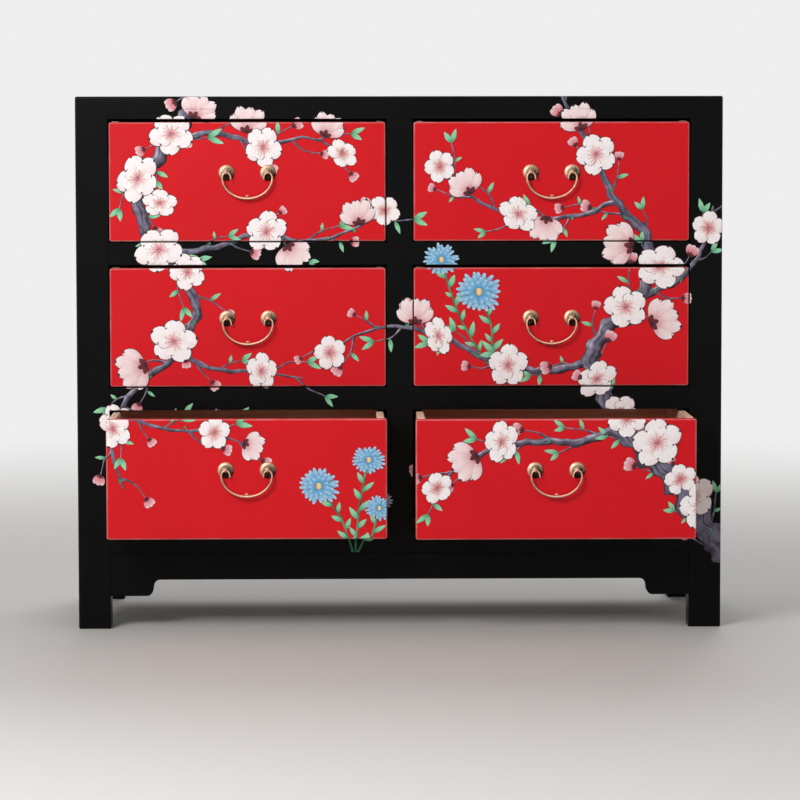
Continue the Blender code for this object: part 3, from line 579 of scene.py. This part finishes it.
# Boughs and branches: x, z and width in mm in the plane of the closed front.
BOUGHS = (
    ((548, 62, 42), (502, 124, 40), (452, 188, 38), (396, 262, 33), (338, 314, 29), (316, 372, 27),
     (298, 420, 25), (322, 470, 22), (370, 518, 20), (392, 568, 18), (378, 614, 16), (332, 668, 12),
     (300, 735, 9), (258, 812, 6), (244, 850, 4)),
    ((334, 322, 15), (270, 302, 12), (180, 300, 10), (100, 272, 7), (48, 226, 3)),
    ((302, 414, 14), (230, 402, 12), (150, 414, 10), (70, 452, 8), (0, 470, 6), (-60, 460, 4),
     (-112, 428, 2)),
    ((366, 514, 12), (430, 540, 9), (470, 592, 6), (486, 656, 3)),
    ((334, 664, 9), (270, 640, 7), (180, 642, 6), (110, 672, 4), (58, 722, 2)),
    ((-290, 850, 27), (-322, 806, 26), (-352, 758, 24), (-398, 700, 21), (-400, 640, 19), (-372, 585, 17),
     (-330, 540, 16), (-316, 490, 14), (-345, 430, 12), (-400, 385, 10), (-430, 345, 8), (-440, 290, 6),
     (-422, 230, 3)),
    ((-354, 755, 12), (-290, 770, 9), (-210, 752, 7), (-140, 762, 4), (-84, 738, 2)),
    ((-372, 585, 11), (-300, 590, 9), (-215, 614, 7), (-140, 602, 6), (-70, 622, 4), (-18, 652, 2)),
    ((-345, 432, 9), (-290, 406, 7), (-215, 400, 5), (-150, 390, 2)),
    ((-430, 345, 7), (-360, 322, 5), (-290, 316, 4), (-238, 298, 2)))
# Blossoms, those behind first: x, z and breadth in mm, and the way a blossom seen from the side points
# in degrees, or None for one that faces out.
BLOSSOMS = (
    (-318, 792, 45, 60), (-352, 768, 70, None), (-370, 662, 56, None), (-404, 700, 79, None),
    (-328, 556, 59, None), (-372, 590, 79, None), (-392, 412, 52, 200), (-350, 448, 75, None),
    (-438, 322, 61, None), (-236, 770, 45, 80), (-210, 748, 66, None), (-116, 764, 41, 70),
    (-88, 738, 52, None), (-174, 598, 45, 300), (-206, 618, 68, None), (-62, 628, 43, 100),
    (-24, 650, 52, None), (-214, 402, 59, None), (-284, 316, 54, None), (-240, 300, 36, -20),
    (424, 244, 52, None), (456, 204, 75, None), (342, 336, 59, None), (388, 300, 81, None),
    (306, 388, 68, None), (388, 474, 52, 20), (350, 500, 70, None), (362, 594, 54, 170),
    (404, 562, 77, None), (478, 622, 54, None), (282, 774, 45, 110), (304, 736, 66, None),
    (228, 640, 43, 260), (184, 644, 66, None), (110, 676, 43, 120), (62, 718, 52, None),
    (116, 282, 50, 210), (152, 302, 66, None), (54, 232, 52, None), (168, 410, 68, None),
    (24, 474, 45, 90), (60, 456, 61, None), (-108, 430, 54, None))
# Asters: the points of the stem in mm, and the breadth of the flower at its end.
ASTERS = ((((-74, 119), (-90, 180), (-126, 234)), 66), (((-70, 119), (-64, 200), (-50, 274)), 56),
          (((-66, 119), (-44, 160), (-34, 200)), 46), (((142, 410), (142, 468), (122, 524)), 76),
          (((136, 410), (92, 488), (64, 574)), 58))
# How strongly the brush streaks each kind of stroke, how much coarser on bark, and how far its hairs draw.
BARK_STREAK, PETAL_STREAK, LEAF_STREAK, BARK_COARSER = 1.0, 0.12, 0.4, 2.2
HAIR_MM, HAIR_DRAW, HAIR_SPAN, HAIR_TONES = 2.0, (0.12, 1.0, 1.0), (0.37, 0.63), (0.35, 1.3)
LIGHT_FROM = np.array([-0.6, 0.8])
# How high over the lacquer strokes start, so that later ones lie over earlier ones; how deep the coat of
# paint sits, how far it keeps from an edge, and how near two points are welded.
TWIG_LEVEL, BOUGH_LEVEL, SIDE_LEAF_LEVEL, LEAF_LEVEL, BUD_LEVEL = 0.0001, 0.00012, 0.00022, 0.00025, 0.00035
FLOWER_LEVEL, FLOWER_STEP, MOSS_LEVEL = 0.0005, 0.0003, 0.0007
PAINT_DEPTH, PAINT_MARGIN, WELD = 0.0003, 0.0005, 1e-7
# Twigs: the first place on a bough and the step to the next, their reach, and widths in mm.
TWIG_FROM, TWIG_EVERY, TWIG_REACH, TWIG_WIDTHS = 0.03, 0.04, (0.026, 0.062), (4.0, 2.6, 1.6)
BUD_CHANCE, SIDE_LEAF_CHANCE, MOSS_CHANCE = 0.55, 0.55, 0.4
STEM_WIDTHS, STEM_LEAVES_FROM, STEM_LEAVES_EVERY, STEM_LEAF_TURN = (3.4, 2.8, 2.4), 0.02, 0.014, 0.7
OPEN_TONES = ("blush", "white", "white", "petal_line")
CALYX_TONES = ("bark_dark", "calyx", "calyx", "bark_dark")
# Boughs: the steps between two points, and how far they sway, knot and glint, over waves of what length.
BOUGH_STEPS, SWAY, SWAY_WAVE, KNOT, KNOT_WAVES = 18, 0.5, 0.09, 0.3, (0.045, 0.06)
GLINT, GLINT_WAVE = 0.35, 0.03
# How far the paint stands up in the middle of a stroke, by its width, and each petal over the last.
BOUGH_DOME, PETAL_DOME, PETAL_STEP = 0.03, 0.01, 0.00003
strokes = []
brush = np.random.default_rng(12)


def lay(places, colours, runs, streak):
    """Keep a group of like strokes: k grids of m by n points (x, z, height), their colours and runs.

    How strongly the brush streaks them goes in the colours' alpha.
    """
    colours = np.array(np.broadcast_to(colours, places.shape[:3] + (4,)))
    colours[..., 3] = streak
    strokes.append((places, colours, runs))


def blend(weight, first, second):
    """Colours from the first, at weight 0, to the second, at weight 1."""
    return first + (second - first) * np.asarray(weight)[..., None]


def smooth_path(points, steps):
    """A Catmull-Rom curve through rows of numbers, with so many steps between two rows."""
    rows = np.concatenate([[2 * points[0] - points[1]], points, [2 * points[-1] - points[-2]]])
    a, b, c, d = (rows[place:len(rows) - 3 + place, None] for place in range(4))
    t = np.linspace(0, 1, steps, endpoint=False)[None, :, None]
    curve = b + 0.5 * t * (c - a + t * (2 * a - 5 * b + 4 * c - d + t * (3 * (b - c) + d - a)))
    return np.concatenate([curve.reshape(-1, points.shape[1]), points[-1:]])


def waver(length, wave):
    """A wavering line about 0, within about 1: three sines of random phase along a length."""
    phases = brush.uniform(0, 2 * math.pi, 3)
    return sum(np.sin(2 * math.pi * length / wave * rate + phase)
               for rate, phase in zip((1.0, 1.7, 2.9), phases)) / 3


def bough(points, level, tones=("bark_dark", "bark", "bark_lit")):
    """A bough, twig or stem: a band along a smooth path, knotted at both edges, lit from the upper left."""
    path = smooth_path(points / 1000, BOUGH_STEPS)
    centre, half = path[:, :2], path[:, 2:] / 2
    length = np.concatenate([[0], np.cumsum(np.linalg.norm(np.diff(centre, axis=0), axis=1))])
    run = np.gradient(centre, axis=0)
    run /= np.linalg.norm(run, axis=1)[:, None]
    left = np.stack([-run[:, 1], run[:, 0]], 1)
    centre = centre + left * half * SWAY * waver(length, SWAY_WAVE)[:, None]
    across = np.array([-1, -0.84, -0.55, -0.2, 0.2, 0.55, 0.84, 1])
    knots = np.stack([1 + KNOT * waver(length, wave) for wave in KNOT_WAVES], 1)
    reach = half * across * np.where(across < 0, knots[:, :1], knots[:, 1:])
    flat = centre[:, None] + left[:, None] * reach[..., None]
    height = level + BOUGH_DOME * half * (1 - across ** 2)
    lit = (left @ LIGHT_FROM)[:, None] * across + GLINT * waver(length, GLINT_WAVE)[:, None]
    dark, body, bright = (PAINT[name] for name in tones)
    colour = blend(ramp(lit, -1.0, 0.1), dark, body)
    colour = blend(ramp(lit, 0.25, 0.95) * 0.9, colour, bright)
    outline = np.maximum(ramp(np.abs(across), 0.8, 1.0), ramp(-lit, 0.45, 0.9))
    colour = blend(outline, colour, dark)
    runs = np.stack([np.broadcast_to(length[:, None], reach.shape), reach, np.zeros_like(reach)], -1)
    lay(np.concatenate([flat, height[..., None]], -1)[None], colour[None], runs[None] / BARK_COARSER,
        BARK_STREAK)
    return centre, run, length


def heading(turn):
    """The unit vector in a direction."""
    return np.array([math.cos(turn), math.sin(turn)])


def slanted(points, slant):
    """Points drawn in by a factor along a direction, as those of a flower that is seen aslant."""
    towards = heading(slant[0])
    return points - (1 - slant[1]) * (points @ towards)[..., None] * towards


# Places along and across a petal that its grid has points at, closest by the outline. Threads and small
# dots have fewer.
PETAL_GRID = ((0, 0.05, 0.13, 0.25, 0.4, 0.55, 0.7, 0.82, 0.91, 0.96, 0.982, 1),
              (-1, -0.95, -0.88, -0.65, -0.3, 0, 0.3, 0.65, 0.88, 0.95, 1))
DOT_GRID, SMALL_DOT = ((0, 0.05, 0.22, 0.5, 0.78, 0.95, 1), (-1, -0.88, 0, 0.88, 1)), 0.004


def petals(centres, angles, lengths, width, tones, level, blunt=1.5, full=0.6, slant=None, notch=0.0,
           streak=PETAL_STREAK, grid=PETAL_GRID):
    """Petals or leaves, each from its own centre: base, body and tip colours, with a fine outline.

    From base t = 0 to tip t = 1 the half width is half the width times sin(pi t^blunt)^full. The tip is
    notched in the middle and ruffled. A slant (direction, factor) draws all in along that direction. The
    side away from the light is a little darker.
    """
    t, s = np.meshgrid(*grid, indexing="ij")
    angles = np.asarray(angles, float)[:, None, None]
    lengths = np.broadcast_to(lengths, len(angles))[:, None, None]
    ruffle = np.sin(6 * s + 40 * angles) * 0.3 - np.exp(-(s / 0.3) ** 2)
    along = t * lengths * (1 + notch * ruffle * t ** 4)
    aside = s * width / 2 * np.sin(np.pi * t ** blunt) ** full + 0 * along
    flat = np.stack([along * np.cos(angles) - aside * np.sin(angles),
                     along * np.sin(angles) + aside * np.cos(angles)], -1)
    if slant:
        flat = slanted(flat, slant)
    flat = flat + np.broadcast_to(centres, (len(angles), 2))[:, None, None]
    order = np.arange(len(angles))[:, None, None]
    height = level + PETAL_STEP * order + PETAL_DOME * width * (1 - s ** 2) * np.sin(np.pi * t)
    base, body, tip, line = (PAINT[name] for name in tones)
    colour = blend(ramp(t, 0.04, 0.5), base, body)
    colour = blend(ramp(t, 0.6, 1.0) * 0.7, colour, tip)
    away = ramp(s * (LIGHT_FROM[0] * np.sin(angles) - LIGHT_FROM[1] * np.cos(angles)), 0.1, 1.2)
    colour = blend(away * 0.35, colour, base)
    colour = blend(np.maximum(ramp(np.abs(s), 0.88, 0.95), ramp(t, 0.96, 0.982)), colour, line)
    runs = np.stack([along, aside, np.broadcast_to(order * 0.01, along.shape)], -1)
    lay(np.concatenate([flat, height[..., None]], -1), colour, runs, streak)


def dots(centres, size, tones, level):
    """Round dots."""
    petals(np.asarray(centres) - (size / 2, 0), np.zeros(len(centres)), size, size, tones, level, 1.0, 0.5,
           grid=DOT_GRID if size < SMALL_DOT else PETAL_GRID)


DOUBLE_FROM, STAMENS, STAMEN_WIDTH, STAMEN_TIP, PISTIL = 0.055, 15, 0.0010, 0.0022, 0.0045


def open_blossom(centre, size, level):
    """An open plum blossom, a little aslant: round petals, double on a large one, and tipped stamens."""
    turn, lean = brush.uniform(0, 2 * math.pi, 2)
    slant = (lean, brush.uniform(0.68, 0.98))
    petals(centre, around(5, turn), 0.5 * size, 0.47 * size, OPEN_TONES, level, slant=slant, notch=0.07)
    if size > DOUBLE_FROM:
        petals(centre, around(5, turn + 0.6), 0.34 * size, 0.3 * size, OPEN_TONES, level + 0.0002,
               slant=slant, notch=0.08)
    rays = around(STAMENS, turn) + brush.uniform(-0.15, 0.15, STAMENS)
    reach = size * brush.uniform(0.13, 0.23, STAMENS)
    petals(centre, rays, reach, STAMEN_WIDTH, ("rose", "blush", "blush", "rose"), level + 0.0005, 1.0, 0.4,
           slant, grid=DOT_GRID)
    tips = slanted(np.stack([np.cos(rays), np.sin(rays)], 1) * reach[:, None], slant)
    dots(centre + tips, STAMEN_TIP, ("ochre", "cream", "cream", "ochre"), level + 0.0006)
    dots([centre], PISTIL, ("green", "mint", "mint", "green"), level + 0.0006)


def side_blossom(centre, size, turn, level):
    """A half-open blossom seen from the side: two outer petals, three inner ones and a dark calyx."""
    petals(centre, turn + np.array([-0.85, 0.85, -0.45, 0.45, 0.0]),
           size * np.array([0.8, 0.8, 0.95, 0.95, 0.9]), 0.5 * size,
           ("rose", "shell", "white", "petal_line"), level, notch=0.06)
    petals(centre, turn + np.array([-1.0, 1.0, 0.0]), 0.28 * size, 0.16 * size, CALYX_TONES,
           level + 0.0004, 1.0)


def bud(centre, size, turn, level):
    """A closed bud on its calyx: a round middle petal between two side petals, and three sepals."""
    petals(centre, turn + np.array([-0.4, 0.4, 0.0]), size, 0.62 * size,
           ("rose", "blush", "white", "petal_line"), level, 1.3)
    petals(centre, turn + np.array([-0.7, 0.7, 0.0]), 0.42 * size, 0.2 * size, CALYX_TONES,
           level + 0.0003, 1.0)


def leaves(centre, size, turns, level):
    """Pointed leaves from one place."""
    turns = np.asarray(turns)
    petals(centre, turns, size * brush.uniform(0.75, 1.0, len(turns)), 0.34 * size,
           ("green", "mint", "mint", "leaf_line"), level, 0.85, 1.0, streak=LEAF_STREAK)


def aster(centre, size, level):
    """An aster: three rings of narrow petals, each shorter and higher than the last, and a gold middle."""
    slant = (brush.uniform(1.0, 2.0), brush.uniform(0.75, 0.92))
    for ring, (count, share) in enumerate(((21, 0.5), (16, 0.39), (11, 0.27))):
        lengths = size * share * brush.uniform(0.86, 1.06, count)
        turns = around(count, ring * 0.2) + brush.uniform(-0.07, 0.07, count)
        petals(centre, turns, lengths, 0.115 * size, ("navy", "azure", "sky", "aster_line"),
               level + 0.0003 * ring, 1.6, 0.6, slant)
    dots([centre], 0.17 * size, ("ochre", "cream", "ochre", "ochre"), level + 0.0012)


for points in BOUGHS:
    centre, run, length = bough(np.array(points, float), BOUGH_LEVEL)
    hand = 1
    for place in np.arange(TWIG_FROM, length[-1], TWIG_EVERY):
        at = np.searchsorted(length, place)
        hand = -hand
        turn = math.atan2(run[at, 1], run[at, 0]) + hand * brush.uniform(0.5, 0.95)
        bend = turn - hand * brush.uniform(0.1, 0.6)
        reach = brush.uniform(*TWIG_REACH)
        middle = centre[at] + reach * 0.5 * heading(turn)
        end = middle + reach * 0.5 * heading(bend)
        bough(np.column_stack([np.stack([centre[at], middle, end]) * 1000, TWIG_WIDTHS]), TWIG_LEVEL)
        if brush.uniform() < BUD_CHANCE:
            bud(end, brush.uniform(0.013, 0.02), bend, BUD_LEVEL)
        else:
            leaves(end, brush.uniform(0.02, 0.03), bend + np.array([-0.5, 0.4]), LEAF_LEVEL)
        if brush.uniform() < SIDE_LEAF_CHANCE:
            leaves(middle, brush.uniform(0.014, 0.024), [turn + hand * 0.9], SIDE_LEAF_LEVEL)
        if brush.uniform() < MOSS_CHANCE:
            moss = centre[at] + np.cumsum(brush.uniform(-0.004, 0.004, (3, 2)), axis=0)
            dots(moss, 0.0034, ("leaf_line", "green", "mint", "leaf_line"), MOSS_LEVEL)
for stem, size in ASTERS:
    centre, run, length = bough(np.column_stack([np.array(stem, float), STEM_WIDTHS]), TWIG_LEVEL,
                                ("leaf_line", "green", "mint"))
    leaf_places = np.arange(STEM_LEAVES_FROM, length[-1] - 0.3 * size / 1000, STEM_LEAVES_EVERY)
    for rank, place in enumerate(leaf_places):
        at = np.searchsorted(length, place)
        turn = math.atan2(run[at, 1], run[at, 0]) + (STEM_LEAF_TURN if rank % 2 else -STEM_LEAF_TURN)
        leaves(centre[at], brush.uniform(0.018, 0.03), [turn], LEAF_LEVEL)
    aster(centre[-1], size / 1000, FLOWER_LEVEL)
for rank, (x, z, size, turn) in enumerate(BLOSSOMS):
    level = FLOWER_LEVEL + FLOWER_STEP * (rank % 4)
    centre = np.array([x, z]) / 1000
    if turn is None:
        open_blossom(centre, size / 1000, level)
    else:
        side_blossom(centre, size / 1000, math.radians(turn), level)


def painted_sheet():
    """All strokes as flat arrays: points (x, -height, z), quads turned to the front, colours and runs."""
    points, quads, colours, runs = [], [], [], []
    start = 0
    for places, tint, run in strokes:
        count, m, n = places.shape[:3]
        k, i, j = np.meshgrid(np.arange(count), np.arange(m - 1), np.arange(n - 1), indexing="ij")
        corner = start + (k * m + i) * n + j
        quads.append(np.stack([corner, corner + n, corner + n + 1, corner + 1], -1).reshape(-1, 4))
        points.append(places.reshape(-1, 3) * (1, 1, -1))
        colours.append(tint.reshape(-1, 4))
        runs.append(run.reshape(-1, 3))
        start += count * m * n
    points = np.concatenate(points)[:, [0, 2, 1]]
    quads = np.concatenate(quads)
    first, second = points[quads[:, 2]] - points[quads[:, 0]], points[quads[:, 3]] - points[quads[:, 1]]
    turned_away = first[:, 0] * second[:, 2] - first[:, 2] * second[:, 0] < 0
    quads[turned_away] = quads[turned_away, ::-1]
    return points, quads, np.concatenate(colours), np.concatenate(runs)


sheet_points, sheet_quads, sheet_colours, sheet_runs = painted_sheet()


def clipped(x_range, z_range, face, x_eases, z_eases):
    """The painting inside an area, laid on its face, which falls away at eased edges on a quarter circle."""
    spread = sheet_points[sheet_quads]
    inside = np.ones(len(spread), bool)
    for axis, (start, end) in ((X, x_range), (Z, z_range)):
        inside &= (spread[..., axis].max(1) > start) & (spread[..., axis].min(1) < end)
    used, quads = np.unique(sheet_quads[inside], return_inverse=True)
    mesh = bpy.data.meshes.new("area")
    mesh.from_pydata(sheet_points[used].tolist(), [], quads.reshape(-1, 4).tolist())
    for name, kind, field, values in (("paint", "FLOAT_COLOR", "color", sheet_colours),
                                      ("run", "FLOAT_VECTOR", "vector", sheet_runs)):
        mesh.attributes.new(name, kind, "POINT").data.foreach_set(field, values[used].ravel())
    shape = bmesh.new()
    shape.from_mesh(mesh)
    bmesh.ops.remove_doubles(shape, verts=shape.verts, dist=WELD)
    edges = [(axis, end, inward, ease) for axis, ends, eases in ((X, x_range, x_eases), (Z, z_range, z_eases))
             for end, inward, ease in zip(ends, (1, -1), eases)]
    for axis, end, inward, ease in edges:
        for deep in ((PAINT_MARGIN, ease * 0.33, ease * 0.6, ease) if ease else (0.0,)):
            place, normal = [0.0] * 3, [0.0] * 3
            place[axis], normal[axis] = end + inward * deep, inward
            bmesh.ops.bisect_plane(shape, geom=shape.verts[:] + shape.edges[:] + shape.faces[:],
                                   plane_co=place, plane_no=normal, clear_inner=deep in (PAINT_MARGIN, 0.0))
    bmesh.ops.dissolve_degenerate(shape, dist=WELD, edges=shape.edges)
    shape.to_mesh(mesh)
    shape.free()
    points = np.empty(len(mesh.vertices) * 3)
    mesh.vertices.foreach_get("co", points)
    points = points.reshape(-1, 3)
    points[:, Y] += face
    for axis, end, inward, ease in edges:
        short = np.clip(ease - inward * (points[:, axis] - end), 0, ease)
        points[:, Y] += ease - np.sqrt(ease ** 2 - short ** 2)
    mesh.vertices.foreach_set("co", points.ravel())
    return mesh


def mineral_paint(name):
    """Brushed mineral colours: each stroke's own colours, streaked along its run by the brush's hairs.

    The eye gets soft shaded petals, leaves and bark, a dull sheen, and fine streaks in the coat.
    """
    material, tree, shader = finish(name, {"Roughness": 0.5, "Specular IOR Level": 0.2})
    paint = add(tree, "Attribute", {}, attribute_name="paint")
    run = add(tree, "Attribute", {}, attribute_name="run")
    drawn = add(tree, "Mapping", {"Vector": run.outputs["Vector"], "Scale": HAIR_DRAW}).outputs[0]
    streak = mapped(tree, noise(tree, drawn, HAIR_MM, 3.0), HAIR_SPAN, HAIR_TONES)
    colour = mixed(tree, paint.outputs["Alpha"], paint.outputs["Color"], streak, "MULTIPLY")
    tree.links.new(colour, shader.inputs["Base Color"])
    return material


def painting(name, body, slot, areas):
    """One painted piece on a body: its areas' paint as a thin closed coat that sits in the lacquer."""
    shape = bmesh.new()
    for area in areas:
        shape.from_mesh(clipped(*area))
    mesh = bpy.data.meshes.new(name)
    shape.to_mesh(mesh)
    shape.free()
    mesh.shade_smooth()
    coat = piece(name, mesh, paint_material, body, slot).modifiers.new("coat", "SOLIDIFY")
    coat.thickness = PAINT_DEPTH
    coat.offset = -1.0


paint_material = mineral_paint("mineral_paint")
for drawer in DRAWERS:
    low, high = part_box(f"{drawer}_drawer_front")
    painting(f"{drawer}_front_painting", f"{drawer}_drawer", "red_lacquer",
             [((low.x, high.x), (low.z, high.z), low.y, (FRONT_EASE,) * 2, (FRONT_EASE,) * 2)])
low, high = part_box("top_board")
members = [((low.x, high.x), (low.z - GLUE_LINE, high.z), low.y, (TOP_CORNER,) * 2, (0.0, TOP_EASES[1]))]
for side, eases in (("left", (POST_ARRIS, 0.0)), ("right", (0.0, POST_ARRIS))):
    low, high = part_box(f"front_{side}_post")
    members.append(((low.x, high.x), (low.z, high.z), low.y, eases, (0.0, 0.0)))
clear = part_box("front_left_post")[1].x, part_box("front_right_post")[0].x
rails = [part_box(f"{name}_rail") for name in ("bottom", "lower", "upper", "top")]
for low, high in rails:
    members.append((clear, (low.z, high.z), low.y, (0.0, 0.0), (0.0, 0.0)))
for row, below, above in zip(ROWS, rails, rails[1:]):
    low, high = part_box(f"{row}_stile")
    members.append(((low.x, high.x), (below[1].z, above[0].z), low.y, (0.0, 0.0), (0.0, 0.0)))
painting("frame_painting", "carcass", "black_lacquer", members)

# Floor, lamps and camera: a plain pale floor that fades into the background, soft boxes above to the left,
# to the right and behind, and a long lens that looks at the front from a little left of the middle.
FLOOR_COLOUR, FLOOR_REACH, FADE_FROM, FADE_TO = "#cbc9c6", 4.0, 0.9, 3.6
BACKGROUND, SKYLIGHT = 0.86, 0.3
# Each soft box's place and breadth in metres, and its power in watts. All face one point on the chest.
AIM = (0.0, 0.0, 0.42)
SOFT_BOXES = {"key_box": ((-1.28, -2.53, 1.78), 1.0, 60.0), "fill_box": ((3.6, -4.2, 2.6), 2.4, 25.0),
              "back_box": ((0.4, 3.0, 3.6), 2.0, 70.0)}
CAMERA_PLACE, CAMERA_LENS = (-0.099, -5.6275, 0.770), 160.0
CAMERA_PITCH, CAMERA_ROLL, CAMERA_YAW = 4.302, 0.08, 1.04
floor_paint, tree, shader = finish("pale_floor", {"Roughness": 0.7, "Base Color": linear(FLOOR_COLOUR)})
place = add(tree, "TexCoord", {})
from_middle = add(tree, "VectorMath", {0: place.outputs["Object"]}, operation="LENGTH")
far = mapped(tree, from_middle.outputs["Value"], (FADE_FROM, FADE_TO), interpolation_type="SMOOTHSTEP")


def seen(tree):
    """1 for rays that show the background: those of the camera, of gloss and through glass."""
    light = add(tree, "LightPath", {})
    shown = add(tree, "Math", {0: light.outputs["Is Camera Ray"], 1: light.outputs["Is Glossy Ray"]},
                operation="MAXIMUM")
    return add(tree, "Math", {0: shown.outputs[0], 1: light.outputs["Is Transmission Ray"]},
               operation="MAXIMUM").outputs[0]


fade = add(tree, "Math", {0: far, 1: seen(tree)}, operation="MULTIPLY")
distance = add(tree, "Emission", {"Color": linear("#ffffff"), "Strength": BACKGROUND})
faded = add(tree, "MixShader", {0: fade.outputs[0], 1: shader.outputs[0], 2: distance.outputs[0]})
tree.links.new(faded.outputs[0], tree.nodes["Material Output"].inputs["Surface"])
floor_mesh = bpy.data.meshes.new("floor")
corners = [(x * FLOOR_REACH, y * FLOOR_REACH, 0) for x, y in ((-1, -1), (1, -1), (1, 1), (-1, 1))]
floor_mesh.from_pydata(corners, [], [(0, 1, 2, 3)])
floor_mesh.materials.append(floor_paint)
floor = placed("floor", floor_mesh)
floor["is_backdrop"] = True

for name, (place, size, power) in SOFT_BOXES.items():
    lamp = bpy.data.lights.new(name, "AREA")
    lamp.shape = "SQUARE"
    lamp.size = size
    lamp.energy = power
    box = placed(name, lamp)
    box.location = place
    towards = np.array(AIM) - np.array(place)
    across = math.hypot(towards[0], towards[1])
    box.rotation_euler = (math.atan2(across, -towards[2]), 0.0,
                          math.atan2(towards[1], towards[0]) - math.pi / 2)

world = bpy.data.worlds.new("studio")
bpy.context.scene.world = world
world.use_nodes = True
strength = mapped(world.node_tree, seen(world.node_tree), onto=(SKYLIGHT, BACKGROUND))
background = world.node_tree.nodes["Background"]
world.node_tree.links.new(strength, background.inputs["Strength"])
background.inputs["Color"].default_value = linear("#ffffff")

lens = bpy.data.cameras.new("camera")
lens.lens = CAMERA_LENS
camera = placed("camera", lens)
camera.location = CAMERA_PLACE
camera.rotation_euler = [math.radians(turn) for turn in (90 - CAMERA_PITCH, CAMERA_ROLL, -CAMERA_YAW)]
bpy.context.scene.camera = camera
bpy.context.scene.view_settings.view_transform = "Standard"

low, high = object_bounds()
